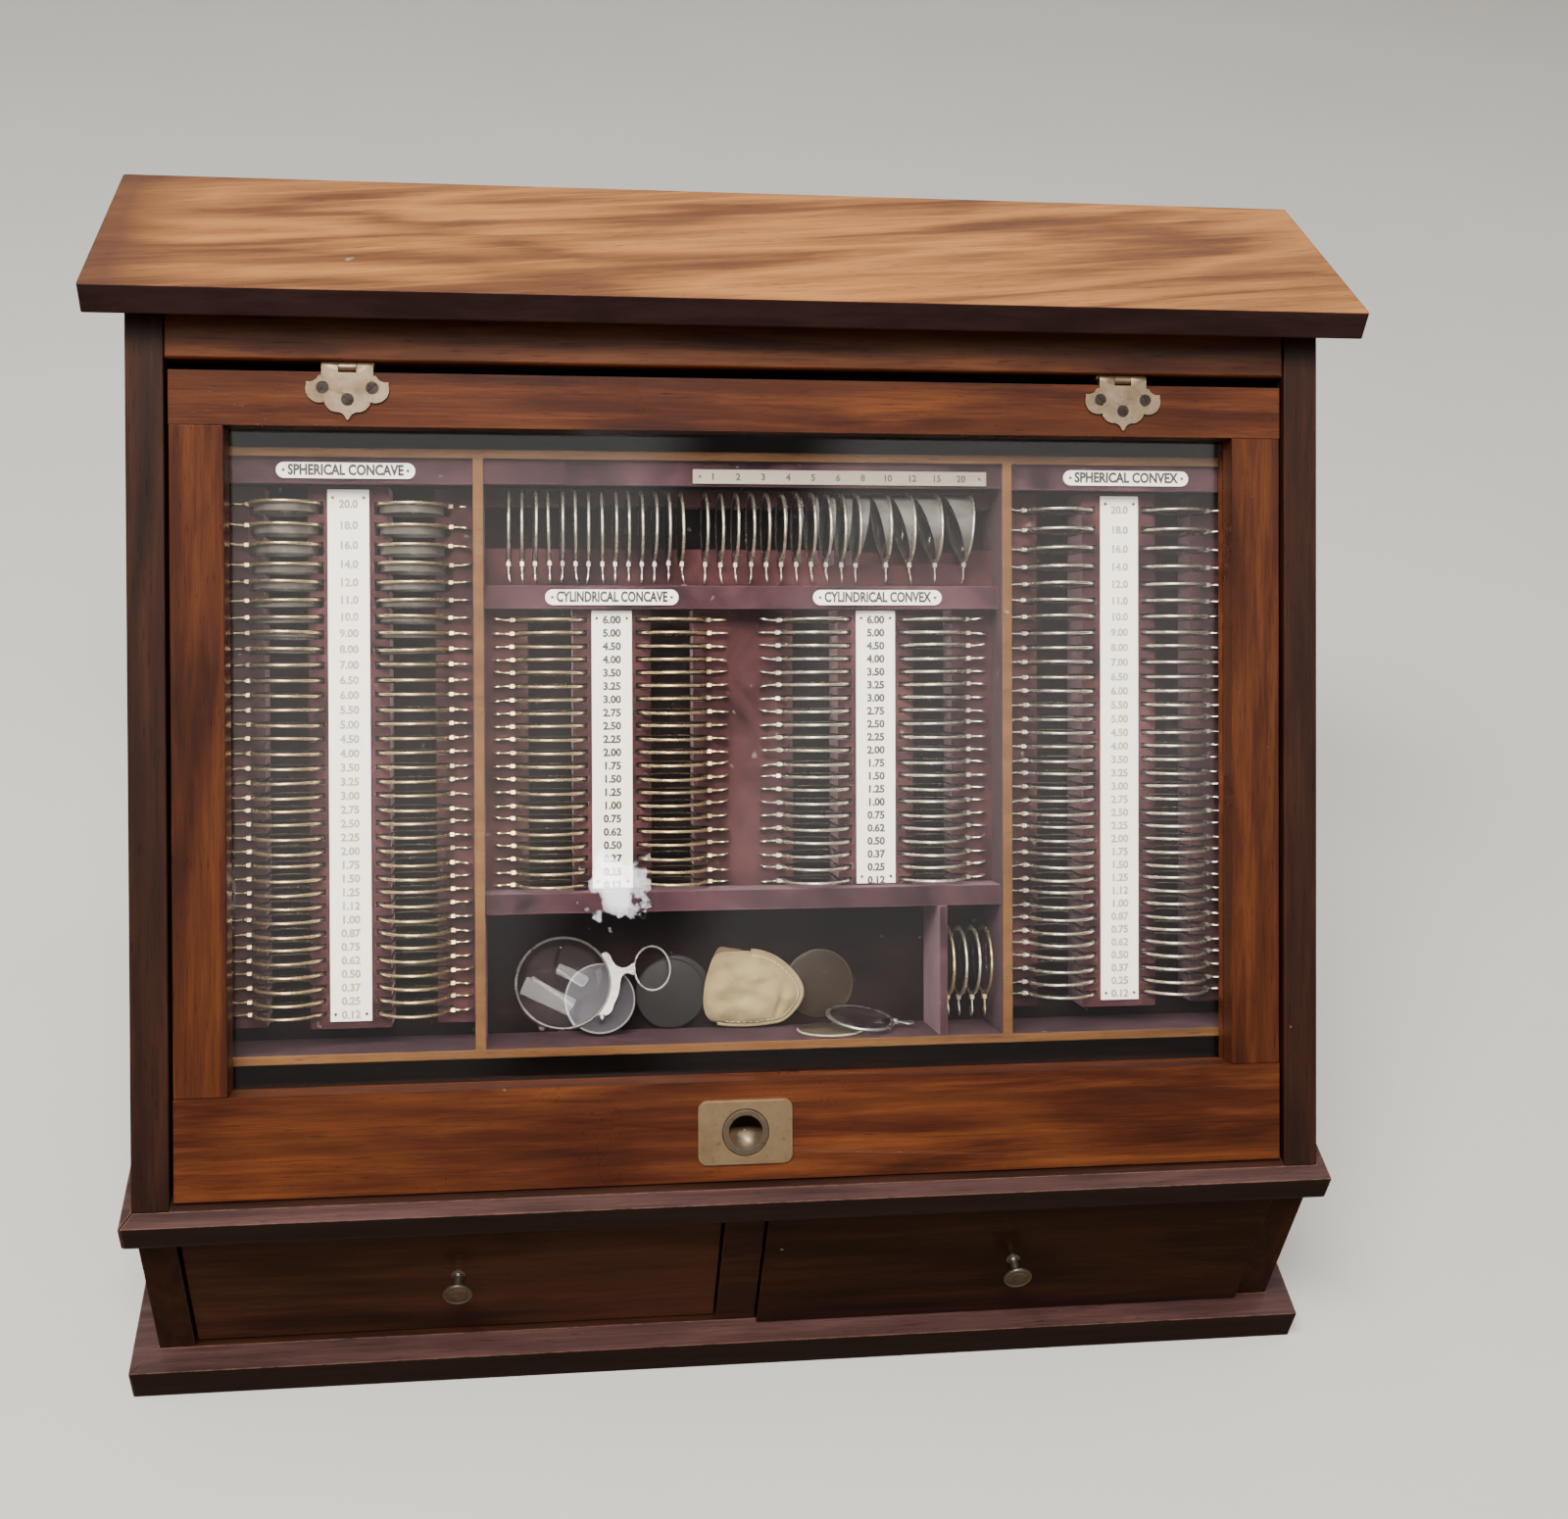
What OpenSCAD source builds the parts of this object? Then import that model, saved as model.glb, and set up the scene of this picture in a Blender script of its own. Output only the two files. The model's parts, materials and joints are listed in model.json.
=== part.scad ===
/* [Case] */
// Width of the top board
top_w = 610; // [600:1:660]
// Depth of the top board, front to back
top_d = 126.5; // [110:0.5:140]
// Thickness of the top board
top_t = 14; // [10:1:18]
// Height over all
case_h = 486; // [480:1:520]
// Depth over all, from the drawer knobs to the back of the top
case_d = 376; // [372:1:400]
// Width of the carcass over its side panels
carcass_w = 580; // [578:1:590]
// Depth of the carcass
carcass_d = 350; // [345:1:355]
// Thickness of a side panel
side_t = 17.5; // [15:0.5:18]
// Thickness of the back panel
back_t = 8; // [6:1:12]
// Angle of the glazed front, back from the vertical
slope = 36.9; // [35:0.1:38]

/* [Mouldings] */
// Height of the base moulding
base_h = 20; // [16:1:22]
// How far the base stands out in front
base_front_out = 14; // [10:1:18]
// How far the base stands out at each side
base_side_out = 13; // [8:1:15]
// Height of the sill moulding and the board behind it
sill_h = 17; // [14:1:18]
// Height of the sill's upper face above the table
sill_z = 129; // [125:1:132]
// How far the sill stands out in front
sill_front_out = 9; // [6:1:12]
// How far the sill stands out at each side
sill_side_out = 4.5; // [3:0.5:8]

/* [Door] */
// Width of the glazed door
door_w = 542; // [538:1:543]
// Thickness of the door frame
door_t = 20; // [18:1:22]
// How far the door's face lies below the side panels' edges
door_inset = 2; // [1:0.5:3]
// Upper end of the door, measured up the slope
door_top = 393; // [390:1:395]
// Width of the glass opening
sight_w = 492; // [480:1:496]
// Lower edge of the glass opening, up the slope
sight_low = 52; // [50:1:56]
// Upper edge of the glass opening, up the slope
sight_high = 367.5; // [360:0.5:370]
// Thickness of the glass
glass_t = 2.4; // [2:0.1:3]

/* [Drawers] */
// Thickness of the divider between the drawers
divider_t = 20; // [16:1:24]
// Thickness of a drawer front
front_t = 16; // [12:1:20]
// Depth of a drawer, front to back
drawer_d = 310; // [280:5:315]
// Thickness of a drawer's sides
drawer_side_t = 8; // [6:1:10]
// How far a drawer knob stands out from its front
knob_out = 13; // [11:1:16]

/* [Tray] */
// Width of the lens tray
tray_w = 536; // [530:1:538]
// Lower end of the tray, up the slope
tray_low = 62; // [58:1:64]
// Upper end of the tray, up the slope
tray_high = 360; // [356:1:364]
// Depth of the tray, rim to underside
tray_d = 44; // [43:1:46]
// How far the tray sits to the right of the middle
tray_shift = 3.3; // [0:0.1:4]
// Distance of a partition from the tray's middle
partition_x = 132.4; // [132:0.1:134]
// Thickness of a partition
partition_t = 5; // [4:0.5:6]

/* [Lenses] */
// Outside diameter of a lens rim
rim_d = 36; // [35:0.5:36]
// Width of the rim's metal strip
rim_t = 2.2; // [1.8:0.1:2.4]
// Length of a rim's handle
handle_len = 10.5; // [8:0.5:10.5]
// Distance of the inner numeral strips from the tray's middle
strip_inner_x = 67; // [66:0.5:68]
// Distance of the outer numeral strips from the tray's middle
strip_outer_x = 195.5; // [195:0.5:196]
// Distance of a lens row's middle from its numeral strip
row_offset = 30.5; // [30:0.5:31]
// Number of spherical powers
sphere_count = 35; // [20:1:35]
// Number of cylindrical powers
cylinder_count = 21; // [12:1:21]
// Number of discs and filters in the upper rack
filter_count = 14; // [8:1:14]
// Number of prisms in the upper rack
prism_count = 15; // [8:1:15]

/* [Hidden] */
$fn = 64;

// The carcass
drawer_left_in = 3;
drawer_right_in = -3;
front_y = knob_out - drawer_right_in - case_d / 2;
back_y = front_y + carcass_d;
top_z = case_h - top_t;
half_w = carcass_w / 2;
inner_w = half_w - side_t;
waist_z = sill_z - sill_h;
floor_z = 14;
front_rail_d = 30;
slope_len = (top_z - sill_z) / cos(slope);

// The door, in the slope's own axes: X right, Y up the slope, Z outward
door_face = -door_inset;
door_back = door_face - door_t;
door_gap = 1.5;
rebate = 6.5;
glass_face = door_face - 12;
glass_back = glass_face - glass_t;
frieze_low = door_top + 5;

// The hinges
hinge_x = 189;
hinge_up = door_top + 2.5;
knuckle_r = 2.1;
leaf_t = 1.4;
pin_r = 1.1;
pin_bore_r = 1.15;
hinge_z = door_face + leaf_t - knuckle_r;
neck_w = 24;
knuckle_len = 7.8;
screw_r = 1.5;
screw_places = [[-11.5, -7.5], [11.5, -7.5], [0, -13]];

// The catch
catch_x = -1.6;
catch_up = 27.4;
plate_w = 46;
plate_h = 31.5;
plate_t = 2.2;
button_r = 11.2;
button_bore_r = 11.6;
stem_r = 3;
bolt_t = 3;
bolt_z = -18.4;

// The drawers
front_gap = 1;
drawer_w = inner_w - divider_t / 2 - 2 * front_gap;
drawer_x = (inner_w + divider_t / 2) / 2;
drawer_low = base_h + 0.8;
drawer_high = waist_z - 1;
knob_z = (base_h + waist_z) / 2;

// The tray, in the slope's axes
tray_top = door_back - 2;
tray_bottom = tray_top - tray_d;
wall_t = 4.5;
tray_floor_t = 4;
floor_top = tray_bottom + tray_floor_t;
rim_r = rim_d / 2;
rim_centre = tray_top - rim_r - 1;
bar_top = rim_centre + 5;
rail_top = rim_centre - 3;
strip_half = 10;
strip_t = 1.2;
trough_half = 11;
slot_w = rim_t + 0.8;
slot_reach = rim_r + 0.5;
tray_in_low = tray_low + wall_t;
tray_in_high = tray_high - wall_t;
shelf_up = 137;
shelf_t = 10;
head_low = 343;
mid_low = 282.5;
mid_high = 294;
side_in = tray_w / 2 - wall_t;
part_in = partition_x - partition_t / 2;
part_out = partition_x + partition_t / 2;
small_x = 99.5;
small_t = 4;
filter_up = 324;
row_first = 334;
row_end_pitch = 6.65;
row_extra_pitch = 3.7;
row_decay = 0.85;
cylinder_first = 277.3;
cylinder_pitch = 6.63;
filter_pitch = 6.62;
filter_first_x = -117.8;
prism_first_x = -19.5;
prism_turned = 11;
tab_t = 1.2;
glass_r = rim_r - 2.2;
pulled_row = 9;

// Places up the slope of the lens rows; the strong powers stand further apart
function sphere_up(k) = row_first - row_end_pitch * k
  - row_extra_pitch * (1 - pow(row_decay, k)) / (1 - row_decay);
function cylinder_up(k) = cylinder_first - cylinder_pitch * k;
function filter_x(k) = filter_first_x + filter_pitch * k;
// A prism's thickness at its base beyond its apex edge; the strongest stand the other way round
function wedge_base(k) = 0.4 + 0.0092 * pow(k, 2.75);
function wedge_right(k) = k < prism_turned ? wedge_base(k) : 0;
function wedge_left(k) = k < prism_turned ? 0 : wedge_base(k);
function prism_x(k) = k == 0 ? prism_first_x
  : prism_x(k - 1) + max(7.75, 2.9 + wedge_right(k - 1) + wedge_left(k));
function strong(k) = max(0, 1 - max(0, k - 2) / 9);

// Stand children on the sloping front: X right, Y up the slope, Z outward
module on_slope() {
  translate([0, front_y, sill_z]) rotate([90 - slope, 0, 0]) children();
}
module in_tray() {
  on_slope() translate([tray_shift, 0, 0]) children();
}
module block(low, high) {
  translate(low) cube([for (i = [0:2]) high[i] - low[i]]);
}
module below(z) {
  translate([-500, -500, z - 1000]) cube([1000, 1000, 1000]);
}
module above(z) {
  translate([-500, -500, z]) cube([1000, 1000, 1000]);
}
module wood_dark() { color([0.23, 0.11, 0.09]) children(); }
module wood_red() { color([0.47, 0.20, 0.10]) children(); }
module wood_pale() { color([0.60, 0.44, 0.27]) children(); }
module velvet() { color([0.33, 0.20, 0.25]) children(); }
module nickel() { color([0.72, 0.66, 0.53]) children(); }
module gilt() { color([0.75, 0.60, 0.33]) children(); }
module silver() { color([0.80, 0.79, 0.76]) children(); }
module ivory() { color([0.93, 0.90, 0.83]) children(); }
module clear() { color([0.85, 0.90, 0.88, 0.35]) children(); }

module top_board() {
  wood_red() block([-top_w / 2, case_d / 2 - top_d, top_z], [top_w / 2, case_d / 2, case_h]);
}
module side_panel() {
  rotate([90, 0, 90]) linear_extrude(side_t) polygon([
    [front_y, 0], [back_y, 0], [back_y, top_z],
    [front_y + slope_len * sin(slope), top_z], [front_y, sill_z]
  ]);
}
module side_left() { wood_dark() translate([-half_w, 0, 0]) side_panel(); }
module side_right() { wood_dark() translate([inner_w, 0, 0]) side_panel(); }
module back_panel() {
  wood_dark() block([-inner_w, back_y - back_t, 0], [inner_w, back_y, top_z]);
}
module frieze_rail() {
  wood_red() difference() {
    on_slope() block([-inner_w, frieze_low, -20], [inner_w, slope_len + 30, door_face]);
    above(top_z);
    on_slope() translate([-inner_w - 1, 0, 0]) rotate([90, 0, 90]) linear_extrude(2 * inner_w + 2) polygon([
      [frieze_low, door_face - 1.5], [frieze_low + 1.1, door_face], [frieze_low - 1, door_face + 1]
    ]);
  }
}
module waist_board() {
  wood_dark() difference() {
    block([-inner_w, front_y, waist_z], [inner_w, back_y - back_t, sill_z]);
    keeper_seat();
  }
}
// The bottom board, raised along its front edge to meet the top of the base moulding
module bottom_board() {
  wood_dark() {
    block([-inner_w, front_y, 0], [inner_w, back_y - back_t, floor_z]);
    block([-inner_w, front_y, floor_z - 1], [inner_w, front_y + front_rail_d, base_h]);
  }
}
// A moulding's section: out from the wall, up, with its lower edge rounded
module moulding_section(out, high, round) {
  difference() {
    square([out, high]);
    translate([out - round, 0]) difference() {
      square([round + 1, round]);
      translate([0, round]) circle(r = round);
    }
  }
}
// One moulding round the front and both sides, in three mitred lengths; the left mitre has opened
module moulding(front_out, side_out, high, z, round, mitre) {
  outer_x = half_w + side_out;
  intersection() {
    translate([-outer_x, front_y, z]) rotate([90, 0, 90])
      linear_extrude(2 * outer_x) mirror([1, 0]) moulding_section(front_out, high, round);
    translate([0, 0, z - 1]) linear_extrude(high + 2) polygon([
      [-outer_x + mitre, front_y - front_out], [-half_w + mitre, front_y],
      [half_w - 0.1, front_y], [outer_x - 0.1, front_y - front_out]
    ]);
  }
  for (side = [-1, 1]) scale([side, 1, 1]) intersection() {
    translate([half_w, back_y, z]) rotate([90, 0, 0])
      linear_extrude(carcass_d + front_out) moulding_section(side_out, high, round);
    translate([0, 0, z - 1]) linear_extrude(high + 2) polygon([
      [half_w, front_y], [outer_x, front_y - front_out], [outer_x, back_y], [half_w, back_y]
    ]);
  }
}
module sill_moulding() {
  wood_dark() moulding(sill_front_out, sill_side_out, sill_h, waist_z, 4, 0.8);
}
module base_moulding() {
  wood_dark() moulding(base_front_out, base_side_out, base_h, 0, 0.8, 0.3);
}
module drawer_divider() {
  wood_dark() difference() {
    block([-divider_t / 2, front_y, floor_z], [divider_t / 2, back_y - back_t, waist_z]);
    block([-divider_t, front_y - 1, floor_z - 1], [divider_t, front_y + front_rail_d, base_h]);
  }
}
module drawer_runners() {
  wood_pale() for (side = [-1, 1], edge = [divider_t / 2, inner_w - 12])
    scale([side, 1, 1])
      block([edge, front_y + front_rail_d, floor_z], [edge + 12, back_y - back_t - 1, base_h]);
  wood_pale() for (stop = [[-drawer_x, drawer_left_in], [drawer_x, drawer_right_in]])
    translate([stop[0], front_y + stop[1] + drawer_d + 0.4, floor_z])
      block([-20, 0, 0], [20, 12, 22]);
}
module tray_bearers() {
  wood_pale() on_slope() for (side = [-1, 1]) scale([side, 1, 1])
    block([inner_w - 15, tray_low + 2, tray_bottom - 10], [inner_w, tray_high, tray_bottom - 0.1]);
}
module keeper_seat() {
  block([catch_x - 10, front_y + 9, sill_z - 1.2], [catch_x + 10, front_y + 27, sill_z + 1]);
}
module keeper_plate() {
  nickel() difference() {
    block([catch_x - 10, front_y + 9, sill_z - 1.2], [catch_x + 10, front_y + 27, sill_z]);
    block([catch_x - 6, front_y + 15, sill_z - 2], [catch_x + 6, front_y + 22, sill_z + 1]);
  }
}

// Rails run the full width; the stiles stand between them
module rail(low, high, rebate_low, rebate_high) {
  difference() {
    on_slope() block([-door_w / 2, low, door_back], [door_w / 2, high, door_face]);
    on_slope() block([-sight_w / 2 - rebate, rebate_low, door_back - 1],
      [sight_w / 2 + rebate, rebate_high, glass_face]);
  }
}
module door_top_rail() {
  wood_red() difference() {
    rail(sight_high, door_top, sight_high - 1, sight_high + rebate);
    on_slope() for (side = [-1, 1], place = screw_places)
      translate([side * hinge_x + place[0], door_top + place[1], door_face - 11])
        cylinder(h = 12, r = screw_r + 0.05);
  }
}
module door_bottom_rail() {
  wood_red() difference() {
    rail(0, sight_low, sight_low - rebate, sight_low + 1);
    below(sill_z + 1.5);
    on_slope() translate([catch_x, catch_up, 0]) {
      translate([0, 0, -13]) cylinder(h = 20, r = button_bore_r);
      translate([0, 0, -20.5]) cylinder(h = 20, r = stem_r + 0.4);
      block([-5.4, -40, bolt_z - 0.4], [5.4, 14, bolt_z + bolt_t + 0.4]);
    }
  }
}
module stile() {
  on_slope() difference() {
    block([sight_w / 2, sight_low, door_back], [door_w / 2, sight_high, door_face]);
    block([sight_w / 2 - 1, sight_low - 1, door_back - 1],
      [sight_w / 2 + rebate, sight_high + 1, glass_face]);
  }
}
module door_stile_left() { wood_red() scale([-1, 1, 1]) stile(); }
module door_stile_right() { wood_red() stile(); }
module door_glass() {
  reach = rebate - 0.5;
  clear() on_slope() block([-sight_w / 2 - reach, sight_low - reach, glass_back],
    [sight_w / 2 + reach, sight_high + reach, glass_face]);
}
module glazing_beads() {
  out = rebate;
  in = 0.5;
  x = sight_w / 2;
  wood_red() on_slope() {
    for (side = [-1, 1]) scale([side, 1, 1])
      block([x + in, sight_low, door_back], [x + out, sight_high, glass_back]);
    block([-x - out, sight_low - out, door_back], [x + out, sight_low - in, glass_back]);
    block([-x - out, sight_high + in, door_back], [x + out, sight_high + out, glass_back]);
  }
}

// Outline of a door leaf: a neck, two shoulders, scalloped lobes and a point
module leaf_outline() {
  difference() {
    union() {
      translate([-neck_w / 2, -6]) square([neck_w, 5.6]);
      polygon([[-19, -4.3], [-14, -3.6], [14, -3.6], [19, -4.3], [19, -7], [16, -12], [-16, -12], [-19, -7]]);
      for (side = [-1, 1]) {
        translate([side * 12.9, -8.2]) circle(r = 6.4);
        translate([side * 4.8, -13]) circle(r = 6);
      }
      translate([-4.8, -19]) square([9.6, 12]);
      polygon([[-4.5, -18.4], [4.5, -18.4], [0, -22.8]]);
    }
    translate([-20, -0.4]) square([40, 5]);
    for (side = [-1, 1]) {
      translate([side * 17.6, -0.2]) circle(r = 4.6);
      translate([side * 4.6, -23]) circle(r = 3.9);
    }
  }
}
module knuckle(x, len) {
  translate([x - len / 2, 0, 0]) rotate([0, 90, 0]) cylinder(h = len, r = knuckle_r);
}
module knuckle_bore() {
  translate([-20, 0, 0]) rotate([0, 90, 0]) cylinder(h = 40, r = pin_bore_r);
}
module hinge_door_leaves() {
  nickel() on_slope() for (side = [-1, 1]) translate([side * hinge_x, hinge_up, hinge_z]) difference() {
    union() {
      translate([0, -2.5, knuckle_r - leaf_t]) linear_extrude(leaf_t) leaf_outline();
      for (end = [-1, 1]) {
        knuckle(end * (knuckle_len + 0.3), knuckle_len);
        translate([end * (knuckle_len + 0.3) - knuckle_len / 2, -4, knuckle_r - leaf_t])
          cube([knuckle_len, 4, leaf_t]);
      }
    }
    knuckle_bore();
    for (place = screw_places) translate([place[0], place[1] - 2.5, -5]) {
      cylinder(h = 12, r = screw_r + 0.1);
      translate([0, 0, 5 + knuckle_r - 1]) cylinder(h = 1.01, r1 = screw_r + 0.1, r2 = 3.1);
    }
  }
}
module hinge_frame_leaves() {
  nickel() on_slope() for (side = [-1, 1]) translate([side * hinge_x, hinge_up, hinge_z]) difference() {
    union() {
      knuckle(0, knuckle_len);
      block([-knuckle_len / 2, 0, -4], [knuckle_len / 2, knuckle_r, 0]);
      block([-neck_w / 2, 1, -14], [neck_w / 2, frieze_low - hinge_up, -3]);
    }
    knuckle_bore();
  }
}
module hinge_pins() {
  silver() on_slope() for (side = [-1, 1]) translate([side * hinge_x - neck_w / 2, hinge_up, hinge_z])
    rotate([0, 90, 0]) cylinder(h = neck_w, r = pin_r);
}
module hinge_screws() {
  head = 0.9;
  silver() on_slope() for (side = [-1, 1], place = screw_places)
    translate([side * hinge_x + place[0], door_top + place[1], door_face + leaf_t - head]) difference() {
      union() {
        cylinder(h = head, r1 = screw_r, r2 = 2.9);
        translate([0, 0, -9]) cylinder(h = 9.01, r = screw_r);
      }
      rotate([0, 0, side * 35 + place[0] * 7]) translate([-4, -0.35, head - 0.5]) cube([8, 0.7, 1]);
    }
}

module rounded_plate(w, h, r) {
  for (i = [-1, 1], j = [-1, 1]) translate([i * (w / 2 - r), j * (h / 2 - r)]) circle(r = r);
  square([w - 2 * r, h], center = true);
  square([w, h - 2 * r], center = true);
}
module catch_plate() {
  bevel = 0.8;
  nickel() on_slope() translate([catch_x, catch_up, door_face]) difference() {
    union() {
      linear_extrude(plate_t - bevel) rounded_plate(plate_w, plate_h, 4.5);
      linear_extrude(plate_t) rounded_plate(plate_w - 2 * bevel, plate_h - 2 * bevel, 3.7);
    }
    translate([0, 0, -1]) cylinder(h = plate_t + 2, r = button_bore_r);
  }
}
module catch_button() {
  dish_r = 8.4;
  dish_deep = 5;
  ball_r = (dish_r * dish_r + dish_deep * dish_deep) / (2 * dish_deep);
  face = plate_t + 0.5;
  nickel() on_slope() translate([catch_x, catch_up, door_face]) difference() {
    union() {
      translate([0, 0, face - 7.5]) cylinder(h = 7, r = button_r);
      translate([0, 0, face - 1]) cylinder(h = 1, r = button_r - 0.6);
      translate([0, 0, -13]) cylinder(h = 13 + face - 7, r = stem_r);
    }
    translate([0, 0, face + ball_r - dish_deep]) sphere(r = ball_r);
  }
}
// A helix swept with a five-sided wire round the button's stem
module catch_spring() {
  turns = 3.5;
  per_turn = 12;
  sides = 5;
  coil_r = 6.2;
  wire_r = 0.45;
  low = -12.4;
  high = -7.4;
  n = turns * per_turn;
  ring = [for (i = [0:n], j = [0:sides - 1])
    let (a = 360 * i / per_turn, b = 360 * j / sides, r = coil_r + wire_r * cos(b))
    [r * cos(a), r * sin(a), low + (high - low) * i / n + wire_r * sin(b)]];
  walls = [for (i = [0:n - 1], j = [0:sides - 1])
    let (a = i * sides + j, b = i * sides + (j + 1) % sides)
    [a, b, b + sides, a + sides]];
  ends = [[for (j = [sides - 1:-1:0]) j], [for (j = [0:sides - 1]) n * sides + j]];
  silver() on_slope() translate([catch_x, catch_up, 0])
    polyhedron(points = ring, faces = [for (f = concat(walls, ends)) [for (k = [len(f) - 1:-1:0]) f[k]]]);
}
module catch_bolt() {
  nickel() difference() {
    on_slope() translate([catch_x, catch_up, bolt_z]) difference() {
      block([-5, -30, 0], [5, 9, bolt_t]);
      translate([0, 0, -1]) {
        cylinder(h = bolt_t + 2, r = stem_r + 0.2);
        translate([0, -4, 0]) cylinder(h = bolt_t + 2, r = stem_r + 0.2);
        translate([-stem_r - 0.2, -4, 0]) cube([2 * stem_r + 0.4, 4, bolt_t + 2]);
      }
    }
    below(sill_z + 0.4);
  }
}

// A drawer whose front stands "inset" behind the posts
module drawer_front(inset) {
  y = front_y + inset;
  wood_dark() difference() {
    block([-drawer_w / 2, y, drawer_low], [drawer_w / 2, y + front_t, drawer_high]);
    block([-drawer_w / 2 + drawer_side_t + 0.5, y + front_t - 6, drawer_low + 5.8],
      [drawer_w / 2 - drawer_side_t - 0.5, y + front_t + 1, drawer_low + 10.2]);
    translate([0, y - 1, knob_z]) rotate([-90, 0, 0]) cylinder(h = front_t + 2, r = 2.05);
  }
}
module drawer_box(inset) {
  y = front_y + inset + front_t;
  end_y = front_y + inset + drawer_d;
  x = drawer_w / 2 - 0.5;
  high = drawer_high - 6;
  low = base_h + 0.3;
  wood_pale() {
    for (side = [-1, 1]) scale([side, 1, 1]) difference() {
      block([x - drawer_side_t, y, low], [x, end_y, high]);
      block([x - drawer_side_t - 1, y - 1, low + 6.3],
        [x - drawer_side_t + 3, end_y - drawer_side_t, low + 10.7]);
    }
    block([-x + drawer_side_t, end_y - drawer_side_t, low + 11], [x - drawer_side_t, end_y, high]);
    block([-x + drawer_side_t - 2.8, y, low + 6.5],
      [x - drawer_side_t + 2.8, end_y - drawer_side_t - 0.2, low + 10.5]);
  }
}
module drawer_knob(inset) {
  end = knob_out;
  nickel() translate([0, front_y + inset, knob_z]) rotate([90, 0, 0]) rotate_extrude() polygon([
    [0, -12], [2, -12], [2, 0], [3.6, 0], [3.6, 0.7], [2.7, 1.3], [2.2, 2.6], [2.1, end - 6],
    [2.9, end - 4.2], [5.2, end - 3], [7.1, end - 2.3], [7.4, end - 1.6], [7.2, end - 0.8],
    [6.6, end - 0.5], [6.0, end - 0.9], [5.2, end - 0.9], [4.2, end - 0.4], [0, end]
  ]);
}
module drawer_left_front() { translate([-drawer_x, 0, 0]) drawer_front(drawer_left_in); }
module drawer_left_box() { translate([-drawer_x, 0, 0]) drawer_box(drawer_left_in); }
module drawer_left_knob() { translate([-drawer_x, 0, 0]) drawer_knob(drawer_left_in); }
module drawer_right_front() { translate([drawer_x, 0, 0]) drawer_front(drawer_right_in); }
module drawer_right_box() { translate([drawer_x, 0, 0]) drawer_box(drawer_right_in); }
module drawer_right_knob() { translate([drawer_x, 0, 0]) drawer_knob(drawer_right_in); }

module tray_frame() {
  x = tray_w / 2;
  wood_pale() in_tray() {
    for (side = [-1, 1]) scale([side, 1, 1]) {
      block([x - wall_t, tray_low + wall_t, floor_top], [x, tray_high - wall_t, tray_top]);
      block([partition_x - partition_t / 2, tray_in_low, floor_top],
        [partition_x + partition_t / 2, tray_in_high, tray_top]);
    }
    block([-x, tray_low, floor_top], [x, tray_low + wall_t, tray_top]);
    block([-x, tray_high - wall_t, floor_top], [x, tray_high, tray_top]);
  }
}
module tray_floor() {
  wood_pale() in_tray() block([-tray_w / 2, tray_low, tray_bottom], [tray_w / 2, tray_high, floor_top]);
}
// Velvet-covered boards that carry the plates, the shelf under the cylinders and the small divider
module velvet_panels() {
  panel_t = 5;
  velvet() in_tray() {
    for (side = [-1, 1]) scale([side, 1, 1])
      block([part_out, head_low, tray_top - 3 - panel_t], [side_in, tray_in_high, tray_top - 3]);
    block([-part_in, head_low + 0.5, tray_top - 3 - panel_t], [part_in, tray_in_high, tray_top - 3]);
    block([-part_in, mid_low, tray_top - 8 - panel_t], [part_in, mid_high, tray_top - 8]);
    block([-part_in, shelf_up - shelf_t / 2, floor_top], [part_in, shelf_up + shelf_t / 2, tray_top - 4]);
    block([small_x - small_t / 2, tray_in_low, floor_top],
      [small_x + small_t / 2, shelf_up - shelf_t / 2, tray_top - 2]);
  }
}
// Slots for one row of rims whose middle is at x; strong lenses need wider ones
module sphere_slots(x, below, above) {
  for (k = [0:sphere_count - 1])
    block([x - slot_reach, sphere_up(k) - slot_w / 2 - below * strong(k), floor_top + 1.5],
      [x + slot_reach, sphere_up(k) + slot_w / 2 + above * strong(k), 0]);
}
module cylinder_slots(x) {
  for (k = [0:cylinder_count - 1])
    block([x - slot_reach, cylinder_up(k) - slot_w / 2, floor_top + 1.5],
      [x + slot_reach, cylinder_up(k) + slot_w / 2, 0]);
}
module outer_rack(side, below, above) {
  low = sphere_up(sphere_count - 1) - 7;
  high = head_low - 0.5;
  strip = side * strip_outer_x;
  velvet() in_tray() difference() {
    union() {
      block([strip - row_offset + trough_half, low, floor_top],
        [strip + row_offset - trough_half, high, bar_top]);
      block([side < 0 ? -side_in : part_out, low, floor_top],
        [strip - row_offset - trough_half, high, rail_top]);
      block([strip + row_offset + trough_half, low, floor_top],
        [side < 0 ? -part_out : side_in, high, rail_top]);
    }
    sphere_slots(strip - row_offset, below, above);
    sphere_slots(strip + row_offset, below, above);
  }
}
module rack_left() { outer_rack(-1, 3.7, 0); }
module rack_right() { outer_rack(1, 0.6, 0.6); }
module rack_middle() {
  low = shelf_up + shelf_t / 2 + 0.2;
  high = mid_low - 0.2;
  reach = row_offset + trough_half;
  near = row_offset - trough_half;
  velvet() in_tray() difference() {
    union() {
      for (side = [-1, 1]) {
        block([side * strip_inner_x - near, low, floor_top], [side * strip_inner_x + near, high, bar_top]);
        block([side < 0 ? -part_in : strip_inner_x + reach, low, floor_top],
          [side < 0 ? -strip_inner_x - reach : part_in, high, rail_top]);
      }
      block([-strip_inner_x + reach, low, floor_top], [strip_inner_x - reach, high, rail_top]);
    }
    for (side = [-1, 1], row = [-1, 1]) cylinder_slots(side * strip_inner_x + row * row_offset);
  }
}
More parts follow.
